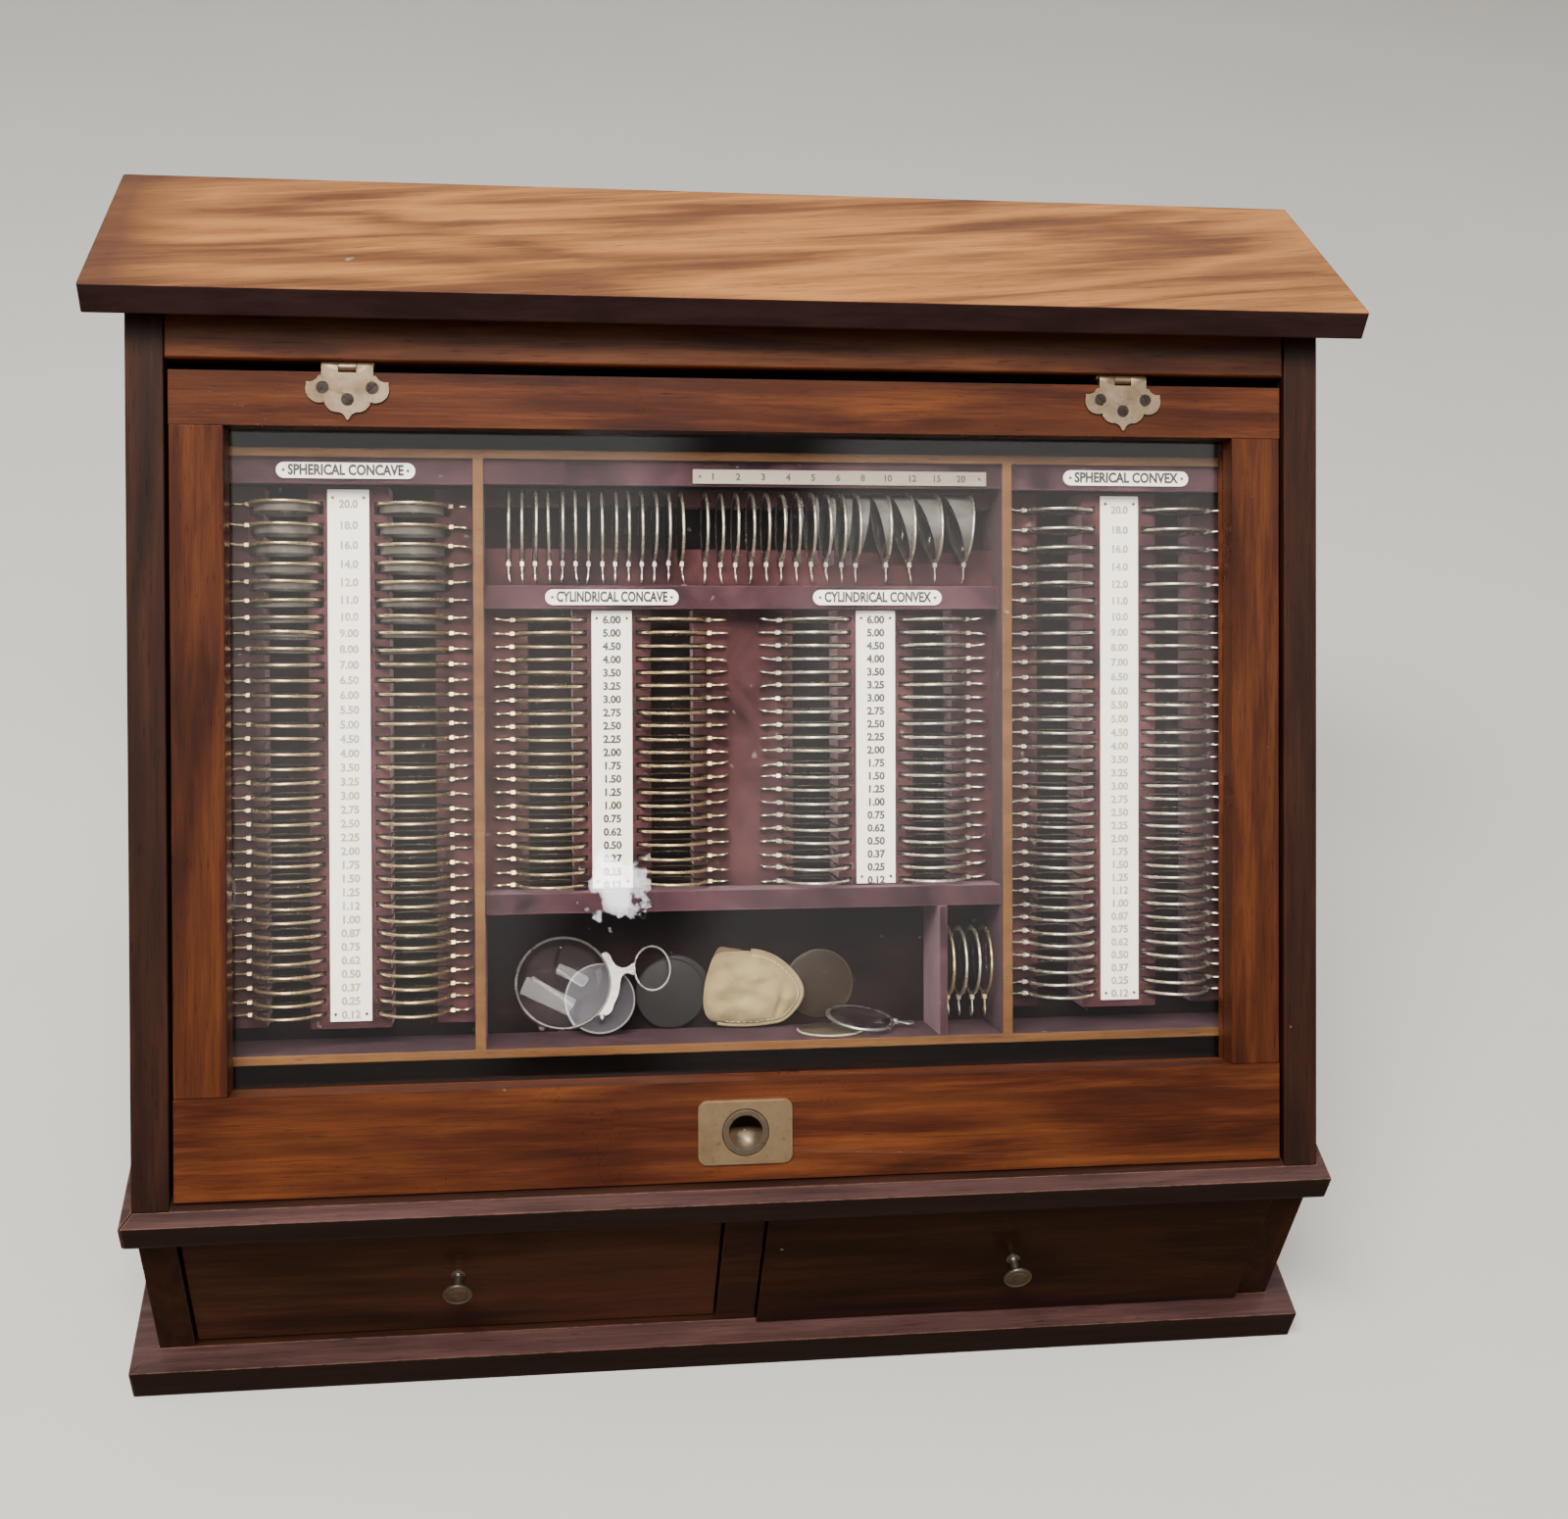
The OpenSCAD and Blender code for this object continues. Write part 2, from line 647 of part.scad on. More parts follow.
// Upper rack: the rims stand across it, with their handles towards the sill
module prism_rack() {
  velvet() in_tray() difference() {
    union() {
      block([-part_in, mid_high + 0.2, floor_top], [part_in, filter_up - trough_half, rail_top]);
      block([-part_in, filter_up + trough_half, floor_top], [part_in, head_low, rail_top]);
    }
    for (k = [0:filter_count - 1])
      block([filter_x(k) - slot_w / 2, filter_up - slot_reach, floor_top + 1.5],
        [filter_x(k) + slot_w / 2, filter_up + slot_reach, 0]);
    for (k = [0:prism_count - 1])
      block([prism_x(k) - slot_w / 2 - wedge_left(k), filter_up - slot_reach, floor_top + 1.5],
        [prism_x(k) + slot_w / 2 + wedge_right(k), filter_up + slot_reach, 0]);
  }
}

module power_strips() {
  scale_w = 7;
  ivory() in_tray() {
    for (side = [-1, 1]) {
      block([side * strip_outer_x - strip_half, 80, bar_top],
        [side * strip_outer_x + strip_half, 341, bar_top + strip_t]);
      block([side * strip_inner_x - strip_half, 143, bar_top],
        [side * strip_inner_x + strip_half, 281.8, bar_top + strip_t]);
    }
    block([-27, 344.5, tray_top - 3], [122, 344.5 + scale_w, tray_top - 3 + strip_t]);
  }
}
plate_places = [
  [-strip_outer_x, 349.2, -3], [strip_outer_x, 349.2, -3],
  [-strip_inner_x, 288.2, -8], [strip_inner_x, 288.2, -8]
];
module label_plates() {
  long = 66;
  high = 7.6;
  ivory() in_tray() for (p = plate_places) translate([p[0], p[1], tray_top + p[2]])
    linear_extrude(strip_t) {
      square([long - high, high], center = true);
      for (side = [-1, 1]) translate([side * (long - high) / 2, 0]) circle(r = high / 2);
    }
}
module pin_at(x, up, z) { translate([x, up, z]) cylinder(h = 0.5, r = 0.7, $fn = 24); }
module strip_pins() {
  gilt() in_tray() {
    for (p = plate_places, side = [-1, 1])
      pin_at(p[0] + side * 29.5, p[1], tray_top + p[2] + strip_t);
    for (side = [-1, 1], across = [-7.5, 7.5]) {
      for (up = [83.5, 337]) pin_at(side * strip_outer_x + across, up, bar_top + strip_t);
      for (up = [146.5, 278]) pin_at(side * strip_inner_x + across, up, bar_top + strip_t);
    }
    for (x = [-23.5, 118.5]) pin_at(x, 348, tray_top - 3 + strip_t);
  }
}

// A rim in its own axes: lens in the XZ plane, handle towards +X
module rim() {
  rotate([90, 0, 0]) {
    translate([0, 0, -rim_t / 2]) difference() {
      cylinder(h = rim_t, r = rim_r);
      translate([0, 0, -1]) cylinder(h = rim_t + 2, r = glass_r + 0.02);
    }
    translate([0, 0, -tab_t / 2]) linear_extrude(tab_t) polygon([
      [rim_r - 0.8, -1.1], [rim_r + 3.4, -1.1], [rim_r + 5, -2.2], [rim_r + handle_len - 1, -2.2],
      [rim_r + handle_len, -1.2], [rim_r + handle_len, 1.2], [rim_r + handle_len - 1, 2.2],
      [rim_r + 5, 2.2], [rim_r + 3.4, 1.1], [rim_r - 0.8, 1.1]
    ]);
    translate([rim_r - 0.6, -1.5, -1.4]) cube([3.2, 3, 2.8]);
  }
}
// A lens: half-thickness at its middle and at its edge, and how far the edge stands out of the rim
module lens(middle, edge, out = 0) {
  rotate([90, 0, 0]) rotate_extrude() polygon([
    [0, -middle], [0.5 * glass_r, -middle * 0.75 - edge * 0.25], [glass_r, -edge],
    [glass_r, edge + out], [0.85 * glass_r, edge + 0.72 * out],
    [0.5 * glass_r, middle * 0.75 + edge * 0.25 + 0.25 * out],
    [0, middle]
  ]);
}
module sphere_rims(strip, skip) {
  in_tray() for (row = [-1, 1], k = [0:sphere_count - 1]) if (!(row == skip && k == pulled_row))
    translate([strip + row * row_offset, sphere_up(k), rim_centre]) rotate([0, row < 0 ? 180 : 0, 0]) rim();
}
module sphere_lenses(strip, skip, convex) {
  in_tray() for (row = [-1, 1], k = [0:sphere_count - 1]) if (!(row == skip && k == pulled_row))
    translate([strip + row * row_offset, sphere_up(k), rim_centre])
      lens(0.5 + (convex ? 2.4 * strong(k) : 0), 0.55, convex ? 0 : 4.2 * strong(k));
}
module sphere_minus_rims() { gilt() sphere_rims(-strip_outer_x, 0); }
module sphere_minus_lenses() { clear() sphere_lenses(-strip_outer_x, 0, false); }
module sphere_plus_rims() { silver() sphere_rims(strip_outer_x, 1); }
module sphere_plus_lenses() { clear() sphere_lenses(strip_outer_x, 1, true); }
module cylinder_rims(strip) {
  in_tray() for (row = [-1, 1], k = [0:cylinder_count - 1])
    translate([strip + row * row_offset, cylinder_up(k), rim_centre]) rotate([0, row < 0 ? 180 : 0, 0]) rim();
}
module cylinder_lenses(strip) {
  in_tray() for (row = [-1, 1], k = [0:cylinder_count - 1])
    translate([strip + row * row_offset, cylinder_up(k), rim_centre]) lens(0.6, 0.6);
}
module cylinder_minus_rims() { gilt() cylinder_rims(-strip_inner_x); }
module cylinder_minus_lenses() { clear() cylinder_lenses(-strip_inner_x); }
module cylinder_plus_rims() { silver() cylinder_rims(strip_inner_x); }
module cylinder_plus_lenses() { clear() cylinder_lenses(strip_inner_x); }

// Rims that stand across the tray, handles towards the sill
module across(x, up) {
  in_tray() translate([x, up, rim_centre]) rotate([0, 0, -90]) children();
}
spare_up = 101.5;
spare_first_x = 105;
spare_pitch = 6.6;
spare_count = 4;
// A trial lens lying on the compartment's lower wall
module at_lying() {
  in_tray() translate([60, tray_in_low + 1.9 + rim_t / 2, floor_top + 19]) rotate([0, 0, -1]) children();
}
module accessory_rims() {
  silver() {
    for (k = [0:filter_count - 1]) across(filter_x(k), filter_up) rim();
    for (k = [0:prism_count - 1]) across(prism_x(k), filter_up) rim();
    for (k = [0:spare_count - 1]) across(spare_first_x + spare_pitch * k, spare_up) rim();
    at_lying() rim();
  }
}
module filter_discs() {
  color([0.35, 0.36, 0.38]) {
    for (k = [0:filter_count - 1]) across(filter_x(k), filter_up) lens(0.55, 0.55);
    for (k = [0:spare_count - 1]) across(spare_first_x + spare_pitch * k, spare_up) lens(0.55, 0.55);
    at_lying() lens(1.6, 0.6);
  }
}
module prism_wedges() {
  clear() for (k = [0:prism_count - 1]) across(prism_x(k), filter_up)
    scale([1, k < prism_turned ? 1 : -1, 1]) intersection() {
    rotate([-90, 0, 0]) translate([0, 0, -0.6]) cylinder(h = 20, r = glass_r);
    translate([0, 0, -glass_r - 1]) linear_extrude(2 * glass_r + 2) polygon([
      [-glass_r - 1, -0.6], [glass_r + 1, -0.6], [glass_r + 1, 0.5], [-glass_r - 1, 0.6 + wedge_base(k)]
    ]);
  }
}

// A condensing lens in a ring with a forked arm and a finger ring, leaning in the lower compartment
magnifier_r = 24.5;
magnifier_at = [-91.7, 93.5, floor_top + 12.9];
magnifier_tilt = 27;
module at_magnifier() {
  in_tray() translate(magnifier_at) rotate([-magnifier_tilt, 0, 0]) children();
}
// A flat bar from a to b, drawn in the plane
module bar_between(a, b, w) {
  d = b - a;
  translate(a) rotate(atan2(d[1], d[0])) translate([0, -w / 2]) square([norm(d), w]);
}
// A ring's outline, longer by "reach" both ways along Y
module oval(r, reach) {
  for (end = [-1, 1]) translate([0, end * reach]) circle(r = r);
  translate([-r, -reach]) square([2 * r, 2 * reach]);
}
module magnifier_frame() {
  fork = [33, 4.8];
  finger = [45.4, 6.6];
  silver() at_magnifier() translate([0, 0, -1.4]) linear_extrude(2.8) difference() {
    union() {
      circle(r = magnifier_r);
      translate(finger) oval(9.7, 2.6);
      for (turn = [34, -40])
        bar_between([magnifier_r * cos(turn) - 0.5, magnifier_r * sin(turn)], fork, 3);
      bar_between(fork - [1.5, 0], finger - [8.9, 0], 3.2);
      rotate(-52) translate([magnifier_r + 1.1, 0]) circle(r = 1.7);
    }
    circle(r = magnifier_r - 1.4);
    translate(finger) oval(8.4, 2.6);
  }
}
module magnifier_lens() {
  edge = magnifier_r - 1.45;
  bulge = [[0, 4.2], [0.3, 3.95], [0.6, 3.1], [0.8, 2.25], [1, 1.2]];
  clear() at_magnifier() rotate_extrude() polygon(concat(
    [for (p = bulge) [edge * p[0], p[1]]],
    [for (k = [4:-1:0]) [edge * bulge[k][0], -bulge[k][1]]]
  ));
}
module cloth_pouch() {
  color([0.78, 0.70, 0.56]) in_tray() translate([0, 88, floor_top + 1.8])
    linear_extrude(13) {
      translate([-20.5, -20.8]) square([34, 42]);
      translate([13.5, -0.5]) circle(r = 20.3);
    }
}
module loose_discs() {
  color([0.25, 0.24, 0.24]) in_tray() {
    translate([-73, tray_in_low + 17.2, floor_top + 8.6]) rotate([-27, 0, 0]) cylinder(h = 1.4, r = 18);
    translate([-33.5, tray_in_low + 20, floor_top]) cylinder(h = 1.4, r = 18);
    translate([44, tray_in_low + 20, floor_top]) cylinder(h = 1.4, r = 18);
    translate([44, tray_in_low, floor_top + 19.5]) rotate([-90, 0, 0]) cylinder(h = 1.4, r = 17);
  }
}
module pulled_glass() {
  clear() in_tray() translate([strip_outer_x + row_offset, sphere_up(pulled_row), rim_centre]) lens(1.1, 0.55);
}
module pulled_lens() {
  silver() in_tray() translate([strip_outer_x + row_offset, sphere_up(pulled_row), rim_centre]) rim();
}

top_board();
side_left();
side_right();
back_panel();
frieze_rail();
waist_board();
bottom_board();
sill_moulding();
base_moulding();
drawer_divider();
drawer_runners();
tray_bearers();
keeper_plate();
door_top_rail();
door_bottom_rail();
door_stile_left();
door_stile_right();
door_glass();
glazing_beads();
hinge_door_leaves();
hinge_frame_leaves();
hinge_pins();
hinge_screws();
catch_plate();
catch_button();
catch_spring();
catch_bolt();
drawer_left_front();
drawer_left_box();
drawer_left_knob();
drawer_right_front();
drawer_right_box();
drawer_right_knob();
tray_frame();
tray_floor();
velvet_panels();
rack_left();
rack_middle();
rack_right();
prism_rack();
power_strips();
label_plates();
strip_pins();
sphere_minus_rims();
sphere_minus_lenses();
sphere_plus_rims();
sphere_plus_lenses();
cylinder_minus_rims();
cylinder_minus_lenses();
cylinder_plus_rims();
cylinder_plus_lenses();
accessory_rims();
filter_discs();
prism_wedges();
magnifier_frame();
magnifier_lens();
cloth_pouch();
loose_discs();
pulled_lens();
pulled_glass();
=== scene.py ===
import json
import math
import random

import bmesh
import bpy
import numpy as np
from mathutils import Matrix, Vector, noise

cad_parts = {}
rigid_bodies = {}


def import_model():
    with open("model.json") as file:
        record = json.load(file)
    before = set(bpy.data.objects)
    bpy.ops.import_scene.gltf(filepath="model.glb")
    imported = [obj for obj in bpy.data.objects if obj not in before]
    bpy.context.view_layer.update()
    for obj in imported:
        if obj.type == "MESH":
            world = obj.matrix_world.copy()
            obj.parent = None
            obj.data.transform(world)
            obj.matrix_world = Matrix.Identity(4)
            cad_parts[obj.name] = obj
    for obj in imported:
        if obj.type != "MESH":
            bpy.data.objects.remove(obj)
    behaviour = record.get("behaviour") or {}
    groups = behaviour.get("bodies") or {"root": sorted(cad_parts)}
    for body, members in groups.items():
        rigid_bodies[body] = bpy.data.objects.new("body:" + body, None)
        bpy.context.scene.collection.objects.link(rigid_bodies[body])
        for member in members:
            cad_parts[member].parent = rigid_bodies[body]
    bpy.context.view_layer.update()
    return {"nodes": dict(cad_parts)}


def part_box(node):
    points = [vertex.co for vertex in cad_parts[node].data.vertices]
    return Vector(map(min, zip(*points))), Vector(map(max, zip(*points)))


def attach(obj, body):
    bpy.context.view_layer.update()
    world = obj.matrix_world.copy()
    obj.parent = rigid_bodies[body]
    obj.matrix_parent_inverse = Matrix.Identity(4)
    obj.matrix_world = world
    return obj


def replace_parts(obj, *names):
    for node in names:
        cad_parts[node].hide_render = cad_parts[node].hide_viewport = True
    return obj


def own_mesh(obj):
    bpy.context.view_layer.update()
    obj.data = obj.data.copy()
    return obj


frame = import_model()
nodes = frame["nodes"]
rng = random.Random(1907)
MM = 0.001

# ---------------------------------------------------------------- the frame's own places
SLOPE = math.radians(36.9)
SIN, COS = math.sin(SLOPE), math.cos(SLOPE)
FRONT_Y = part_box("waist_board")[0][1]
SILL_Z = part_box("waist_board")[1][2]
UP_SLOPE, OFF_SLOPE = (0, SIN, COS), (0, -COS, SIN)
ON_SLOPE = Matrix(
    ((1, 0, 0, 0), (0, SIN, -COS, FRONT_Y), (0, COS, SIN, SILL_Z), (0, 0, 0, 1))
)
TRAY_SHIFT = 3.3
IN_TRAY = ON_SLOPE @ Matrix.Translation((TRAY_SHIFT * MM, 0, 0))
# the tray's own sizes, in millimetres
TRAY_TOP, FLOOR_TOP = -24.0, -64.0
RIM_R, GLASS_R = 18.0, 15.8
RIM_Z = TRAY_TOP - RIM_R - 1
BAR_TOP = RIM_Z + 5
STRIP_T = 1.2
INNER_X, OUTER_X, ROW_X = 67.0, 195.5, 30.5
SPHERES, CYLINDERS, FILTERS, PRISMS = 35, 21, 14, 15
FILTER_UP = 324.0
TURNED = 11
SPARES = 4
PULLED = 9
TRAY_LOW = 66.5
FILTER_X, FILTER_GAP = -117.8, 6.62
SPARE_X, SPARE_GAP, SPARE_UP = 105, 6.6, 101.5
SPHERE_PLATE_UP, CYLINDER_PLATE_UP, SCALE_UP = 349.2, 288.2, 347.8
CATCH_X, CATCH_UP = -1.6, 27.4
LENS_SIDES = 44


def sphere_up(k):
    return 334 - 6.65 * k - 3.7 * (1 - 0.85**k) / 0.15


def cylinder_up(k):
    return 277.3 - 6.63 * k


def strong(k):
    return max(0.0, 1 - max(0, k - 2) / 9)


def wedge_base(k):
    return 0.4 + 0.0092 * k**2.75


def prism_places():
    places = [-19.5]
    for k in range(1, PRISMS):
        right = wedge_base(k - 1) if k - 1 < TURNED else 0
        left = wedge_base(k) if k >= TURNED else 0
        places.append(places[-1] + max(7.75, 2.9 + right + left))
    return places


# ---------------------------------------------------------------- node helpers
class Nodes:
    """Short ways to build the node tree of a new material, or of a world or light that is given."""

    def __init__(self, name, owner=None, kind="Material"):
        self.owner = owner or bpy.data.materials.new(name)
        self.owner.use_nodes = True
        self.tree = self.owner.node_tree
        self.tree.nodes.clear()
        self.out = self.new("ShaderNodeOutput" + kind)

    def new(self, kind, **props):
        n = self.tree.nodes.new(kind)
        for key, value in props.items():
            setattr(n, key, value)
        return n

    def link(self, a, b):
        self.tree.links.new(a, b)

    def set(self, socket, value):
        if isinstance(value, bpy.types.NodeSocket):
            self.link(value, socket)
        else:
            socket.default_value = value

    def math(self, op, a, b):
        n = self.new("ShaderNodeMath", operation=op)
        self.set(n.inputs[0], a)
        self.set(n.inputs[1], b)
        return n.outputs[0]

    def times(self, a, b):
        return self.math("MULTIPLY", a, b)

    def vector(self, op, a, b):
        n = self.new("ShaderNodeVectorMath", operation=op)
        self.set(n.inputs[0], a)
        self.set(n.inputs[1], b)
        return n.outputs["Value"]

    def split(self, vector):
        n = self.new("ShaderNodeSeparateXYZ")
        self.link(vector, n.inputs[0])
        return n.outputs

    def geometry(self, name):
        return self.new("ShaderNodeNewGeometry").outputs[name]

    def choose(self, factor, a, b):
        """Shader a where the factor is 0, and b where it is 1."""
        n = self.new("ShaderNodeMixShader")
        self.link(factor, n.inputs[0])
        self.link(a.outputs[0], n.inputs[1])
        self.link(b.outputs[0], n.inputs[2])
        return n

    def mix(self, factor, a, b):
        n = self.new("ShaderNodeMix", data_type="RGBA")
        self.set(n.inputs[0], factor)
        for socket, value in ((n.inputs[6], a), (n.inputs[7], b)):
            if isinstance(value, tuple):
                socket.default_value = (*value, 1)
            else:
                self.link(value, socket)
        return n.outputs[2]

    def ramp(self, factor, *stops):
        n = self.new("ShaderNodeValToRGB")
        self.link(factor, n.inputs[0])
        while len(n.color_ramp.elements) < len(stops):
            n.color_ramp.elements.new(0.5)
        for e, (at, colour) in zip(n.color_ramp.elements, stops):
            e.position = at
            e.color = (*colour, 1)
        return n.outputs[0]

    def span(self, value, low, high, to_low=0.0, to_high=1.0, form="LINEAR"):
        n = self.new("ShaderNodeMapRange", interpolation_type=form)
        self.link(value, n.inputs[0])
        for i, x in enumerate((low, high, to_low, to_high), 1):
            n.inputs[i].default_value = x
        return n.outputs[0]

    def coords(self, scale=(1, 1, 1), turn=(0, 0, 0), shift=(0, 0, 0)):
        """Object coordinates, turned first and then stretched."""
        t = self.new("ShaderNodeTexCoord").outputs["Object"]
        if any(turn):
            m = self.new("ShaderNodeMapping")
            self.link(t, m.inputs[0])
            m.inputs["Rotation"].default_value = turn
            t = m.outputs[0]
        m = self.new("ShaderNodeMapping")
        self.link(t, m.inputs[0])
        m.inputs["Scale"].default_value = scale
        m.inputs["Location"].default_value = shift
        return m.outputs[0]

    def noise(self, at, scale, detail, rough, distort=0.0):
        n = self.new("ShaderNodeTexNoise")
        self.link(at, n.inputs["Vector"])
        n.inputs["Scale"].default_value = scale
        n.inputs["Detail"].default_value = detail
        n.inputs["Roughness"].default_value = rough
        n.inputs["Distortion"].default_value = distort
        return n.outputs[0]

    def bump(self, height, strength, distance):
        n = self.new("ShaderNodeBump")
        self.link(height, n.inputs["Height"])
        n.inputs["Strength"].default_value = strength
        n.inputs["Distance"].default_value = distance
        return n.outputs[0]

    def edges(self, radius):
        """About 1 on sharp edges within radius, 0 on flats."""
        b = self.new("ShaderNodeBevel", samples=6)
        b.inputs[0].default_value = radius
        agree = self.vector("DOT_PRODUCT", b.outputs[0], self.geometry("Normal"))
        return self.span(agree, 0.995, 0.78)

    def faces(self, direction, low=0.6, high=0.8):
        """1 where the surface faces that way, 0 elsewhere."""
        agree = self.vector("DOT_PRODUCT", self.geometry("Normal"), direction)
        return self.span(agree, low, high)

    def above_slope(self, height, soft=0.2):
        """1 above that height over the sloping front, in millimetres, and 0 below it."""
        over = self.vector("DOT_PRODUCT", self.geometry("Position"), OFF_SLOPE)
        start = -COS * FRONT_Y + SIN * SILL_Z + height * MM
        return self.span(over, start - soft * MM, start + soft * MM)

    def shader(self, **values):
        n = self.new("ShaderNodeBsdfPrincipled")
        for key, value in values.items():
            socket = n.inputs[key]
            if isinstance(value, tuple):
                socket.default_value = (*value, 1)
            else:
                self.set(socket, value)
        return n

    def finish(self, surface):
        self.link(surface.outputs[0], self.out.inputs[0])
        return self.owner


def seen_straight(t):
    """1 for what the camera sees, also through clear glass, 0 in reflections and bounced light."""
    path = t.new("ShaderNodeLightPath").outputs
    straight = t.math("LESS_THAN", t.math("ADD", path["Diffuse Depth"], path["Glossy Depth"]), 0.5)
    straight = t.times(straight, path["Is Transmission Ray"])
    return t.math("MAXIMUM", path["Is Camera Ray"], straight)


TO_SLOPE = (-(math.pi / 2 - SLOPE), 0, 0)
ALONG = {"x": (1, 14, 14), "y": (14, 1, 14), "z": (14, 14, 1)}


def wood(name, colours, grain="x", turn=(0, 0, 0), figure=0.5, rough=0.32, coat=0.35, worn=None,
         wear=0.5, pores=0.5, seed=0.0, cloud=0.4, front=None, lining=None, stain=None):
    """Polished wood with long grain, broad figure, pores, dark patches, specks and worn edges; with
    front, faces turned to the front are painted dark as shade.
    """
    dark, mid, light = colours
    t = Nodes(name)
    stretch = ALONG[grain]
    shift = (seed, seed * 1.7, seed * 0.6)
    flow = tuple(1.0 if x == 1 else 5.0 for x in stretch)
    lines = t.noise(t.coords(stretch, turn, shift), 7.5, 9, 0.66, 0.25)
    fine = t.noise(t.coords(tuple(x if x == 1 else 7 * x for x in stretch), turn, shift), 26, 5, 0.62)
    warp = t.noise(t.coords(flow, turn, shift), 3.4, 2, 0.4, 0.6)
    arcs = t.math("PINGPONG", t.times(warp, 4.5), 0.5)
    body = t.ramp(lines, (0.26, dark), (0.48, mid), (0.72, light))
    body = t.mix(t.times(t.span(arcs, 0.12, 0.5), figure), body, light)
    body = t.mix(t.times(t.span(arcs, 0.16, 0.0), figure * 0.6), body, dark)
    body = t.mix(t.times(t.span(fine, 0.50, 0.66), 0.5), body, dark)
    patches = t.noise(t.coords((1, 1, 1), turn, shift), 4.3, 4, 0.55)
    body = t.mix(t.times(t.span(patches, 0.45, 0.68), cloud), body, dark)
    if stain:
        # painted shade: darker towards one end
        along = t.math("ADD", t.split(t.coords())["X"], t.times(patches, -0.05))
        body = t.mix(t.times(t.span(along, *stain), 0.85), body, dark)
    hole_at = t.coords(tuple(12 if x == 1 else 150 for x in stretch), turn, shift)
    hole = t.span(t.noise(hole_at, 7.5, 2, 0.5), 0.64, 0.72)
    body = t.mix(t.times(hole, pores), body, tuple(0.3 * x for x in dark))
    nicks = t.noise(t.coords((1, 1, 1), turn, shift), 120, 4, 0.7)
    # painted shade: faces turned to the front get the dark front colour
    if front:
        tone = t.mix(t.span(lines, 0.3, 0.7), front, tuple(2.2 * x for x in front))
        body = t.mix(t.faces((0, -1, 0)), body, tone)
    if worn:
        edge = t.times(t.edges(1.3 * MM), t.span(nicks, 0.34, 0.58))
        body = t.mix(t.times(edge, wear), body, worn)
    specks = t.span(t.noise(t.coords(shift=(seed + 5,) * 3), 75, 2, 0.6), 0.775, 0.80)
    body = t.mix(t.times(specks, 0.55), body, SPECK)
    smears = t.noise(t.coords((1, 1, 1), turn, shift), 17, 5, 0.65)
    gloss = t.span(smears, 0.3, 0.75, rough - 0.03, rough + 0.1)
    height = t.math("SUBTRACT", t.times(lines, 0.35), t.times(hole, 0.9))
    height = t.math("ADD", height, t.times(t.noise(t.coords(), 30, 3, 0.5), 0.2))
    surface = t.shader(**{
        "Base Color": body,
        "Roughness": gloss,
        "Coat Weight": coat,
        "Coat Roughness": 0.14,
        "Specular IOR Level": 0.25,
        "Normal": t.bump(height, 0.25, 0.6 * MM),
    })
    if lining is None:
        return t.finish(surface)
    # velvet below the bare top edges
    cloth = t.shader(**velvet_look(t, *lining))
    return t.finish(t.choose(t.above_slope(TRAY_TOP - 0.9), cloth, surface))


def metal(name, colour, dull, rough, patina, scale, scratch=0.25, rubbed=0.0, shade=None):
    """Plated metal, dull in patches, scratched and rubbed at its edges; with shade, the faces turned that
    way are painted dark as shade and a dark reflection.
    """
    t = Nodes(name)
    clouds = t.noise(t.coords(), scale, 5, 0.62)
    spots = t.noise(t.coords(), scale * 6, 3, 0.6)
    tone = t.mix(t.times(t.span(clouds, 0.38, 0.68), patina), colour, dull)
    pitted = t.times(t.span(spots, 0.6, 0.72), patina * 0.7)
    tone = t.mix(pitted, tone, tuple(0.4 * x for x in dull))
    if rubbed:
        bright = tuple(min(1, 1.7 * x) for x in colour)
        tone = t.mix(t.times(t.edges(0.5 * MM), rubbed), tone, bright)
    # painted shade and dark reflection on the faces turned the shade way
    if shade:
        tone = t.mix(t.faces(shade, -0.12, 0.22), tone, tuple(0.06 * x for x in dull))
    lines = t.noise(t.coords((1, 9, 1)), scale * 9, 2, 0.5)
    gloss = t.span(clouds, 0.3, 0.7, rough - 0.06, rough + 0.18)
    gloss = t.math("ADD", gloss, t.times(lines, 0.08))
    return t.finish(
        t.shader(**{
            "Base Color": tone,
            "Metallic": 0.95,
            "Roughness": gloss,
            "Normal": t.bump(t.math("ADD", lines, t.times(spots, 0.6)), scratch, 0.12 * MM),
        })
    )


def velvet_look(t, deep, lit, seed=0.0, sheen=0.35, rub=0.35):
    """The values of a napped cloth that is rubbed light along its edges, with some lint."""
    nap = t.noise(t.coords(shift=(seed,) * 3), 700, 3, 0.6)
    brushed = t.noise(t.coords(shift=(seed,) * 3), 26, 4, 0.6, 0.8)
    lint = t.span(t.noise(t.coords(shift=(seed + 3,) * 3), 170, 2, 0.5), 0.72, 0.76)
    tone = t.mix(t.span(brushed, 0.35, 0.7), deep, lit)
    tone = t.mix(t.times(nap, 0.1), tone, tuple(0.5 * x for x in deep))
    tone = t.mix(t.times(t.edges(1.4 * MM), rub), tone, tuple(min(1, 2.2 * x) for x in lit))
    tone = t.mix(t.times(lint, 0.35), tone, (0.30, 0.24, 0.23))
    return {
        "Base Color": tone,
        "Roughness": 0.95,
        "Specular IOR Level": 0.12,
        "Sheen Weight": sheen,
        "Sheen Roughness": 0.38,
        "Sheen Tint": (0.62, 0.40, 0.46),
        "Normal": t.bump(brushed, 0.25, 0.8 * MM),
    }


def velvet_material(name, *look):
    t = Nodes(name)
    return t.finish(t.shader(**velvet_look(t, *look)))


def glass_material(name, colour):
    """Clear glass that lets lamps through."""
    t = Nodes(name)
    body = t.shader(**{"Base Color": colour, "Transmission Weight": 1.0, "IOR": 1.45, "Roughness": 0})
    clear = t.new("ShaderNodeBsdfTransparent")
    clear.inputs[0].default_value = (*colour, 1)
    path = t.new("ShaderNodeLightPath")
    return t.finish(t.choose(path.outputs["Is Shadow Ray"], body, clear))


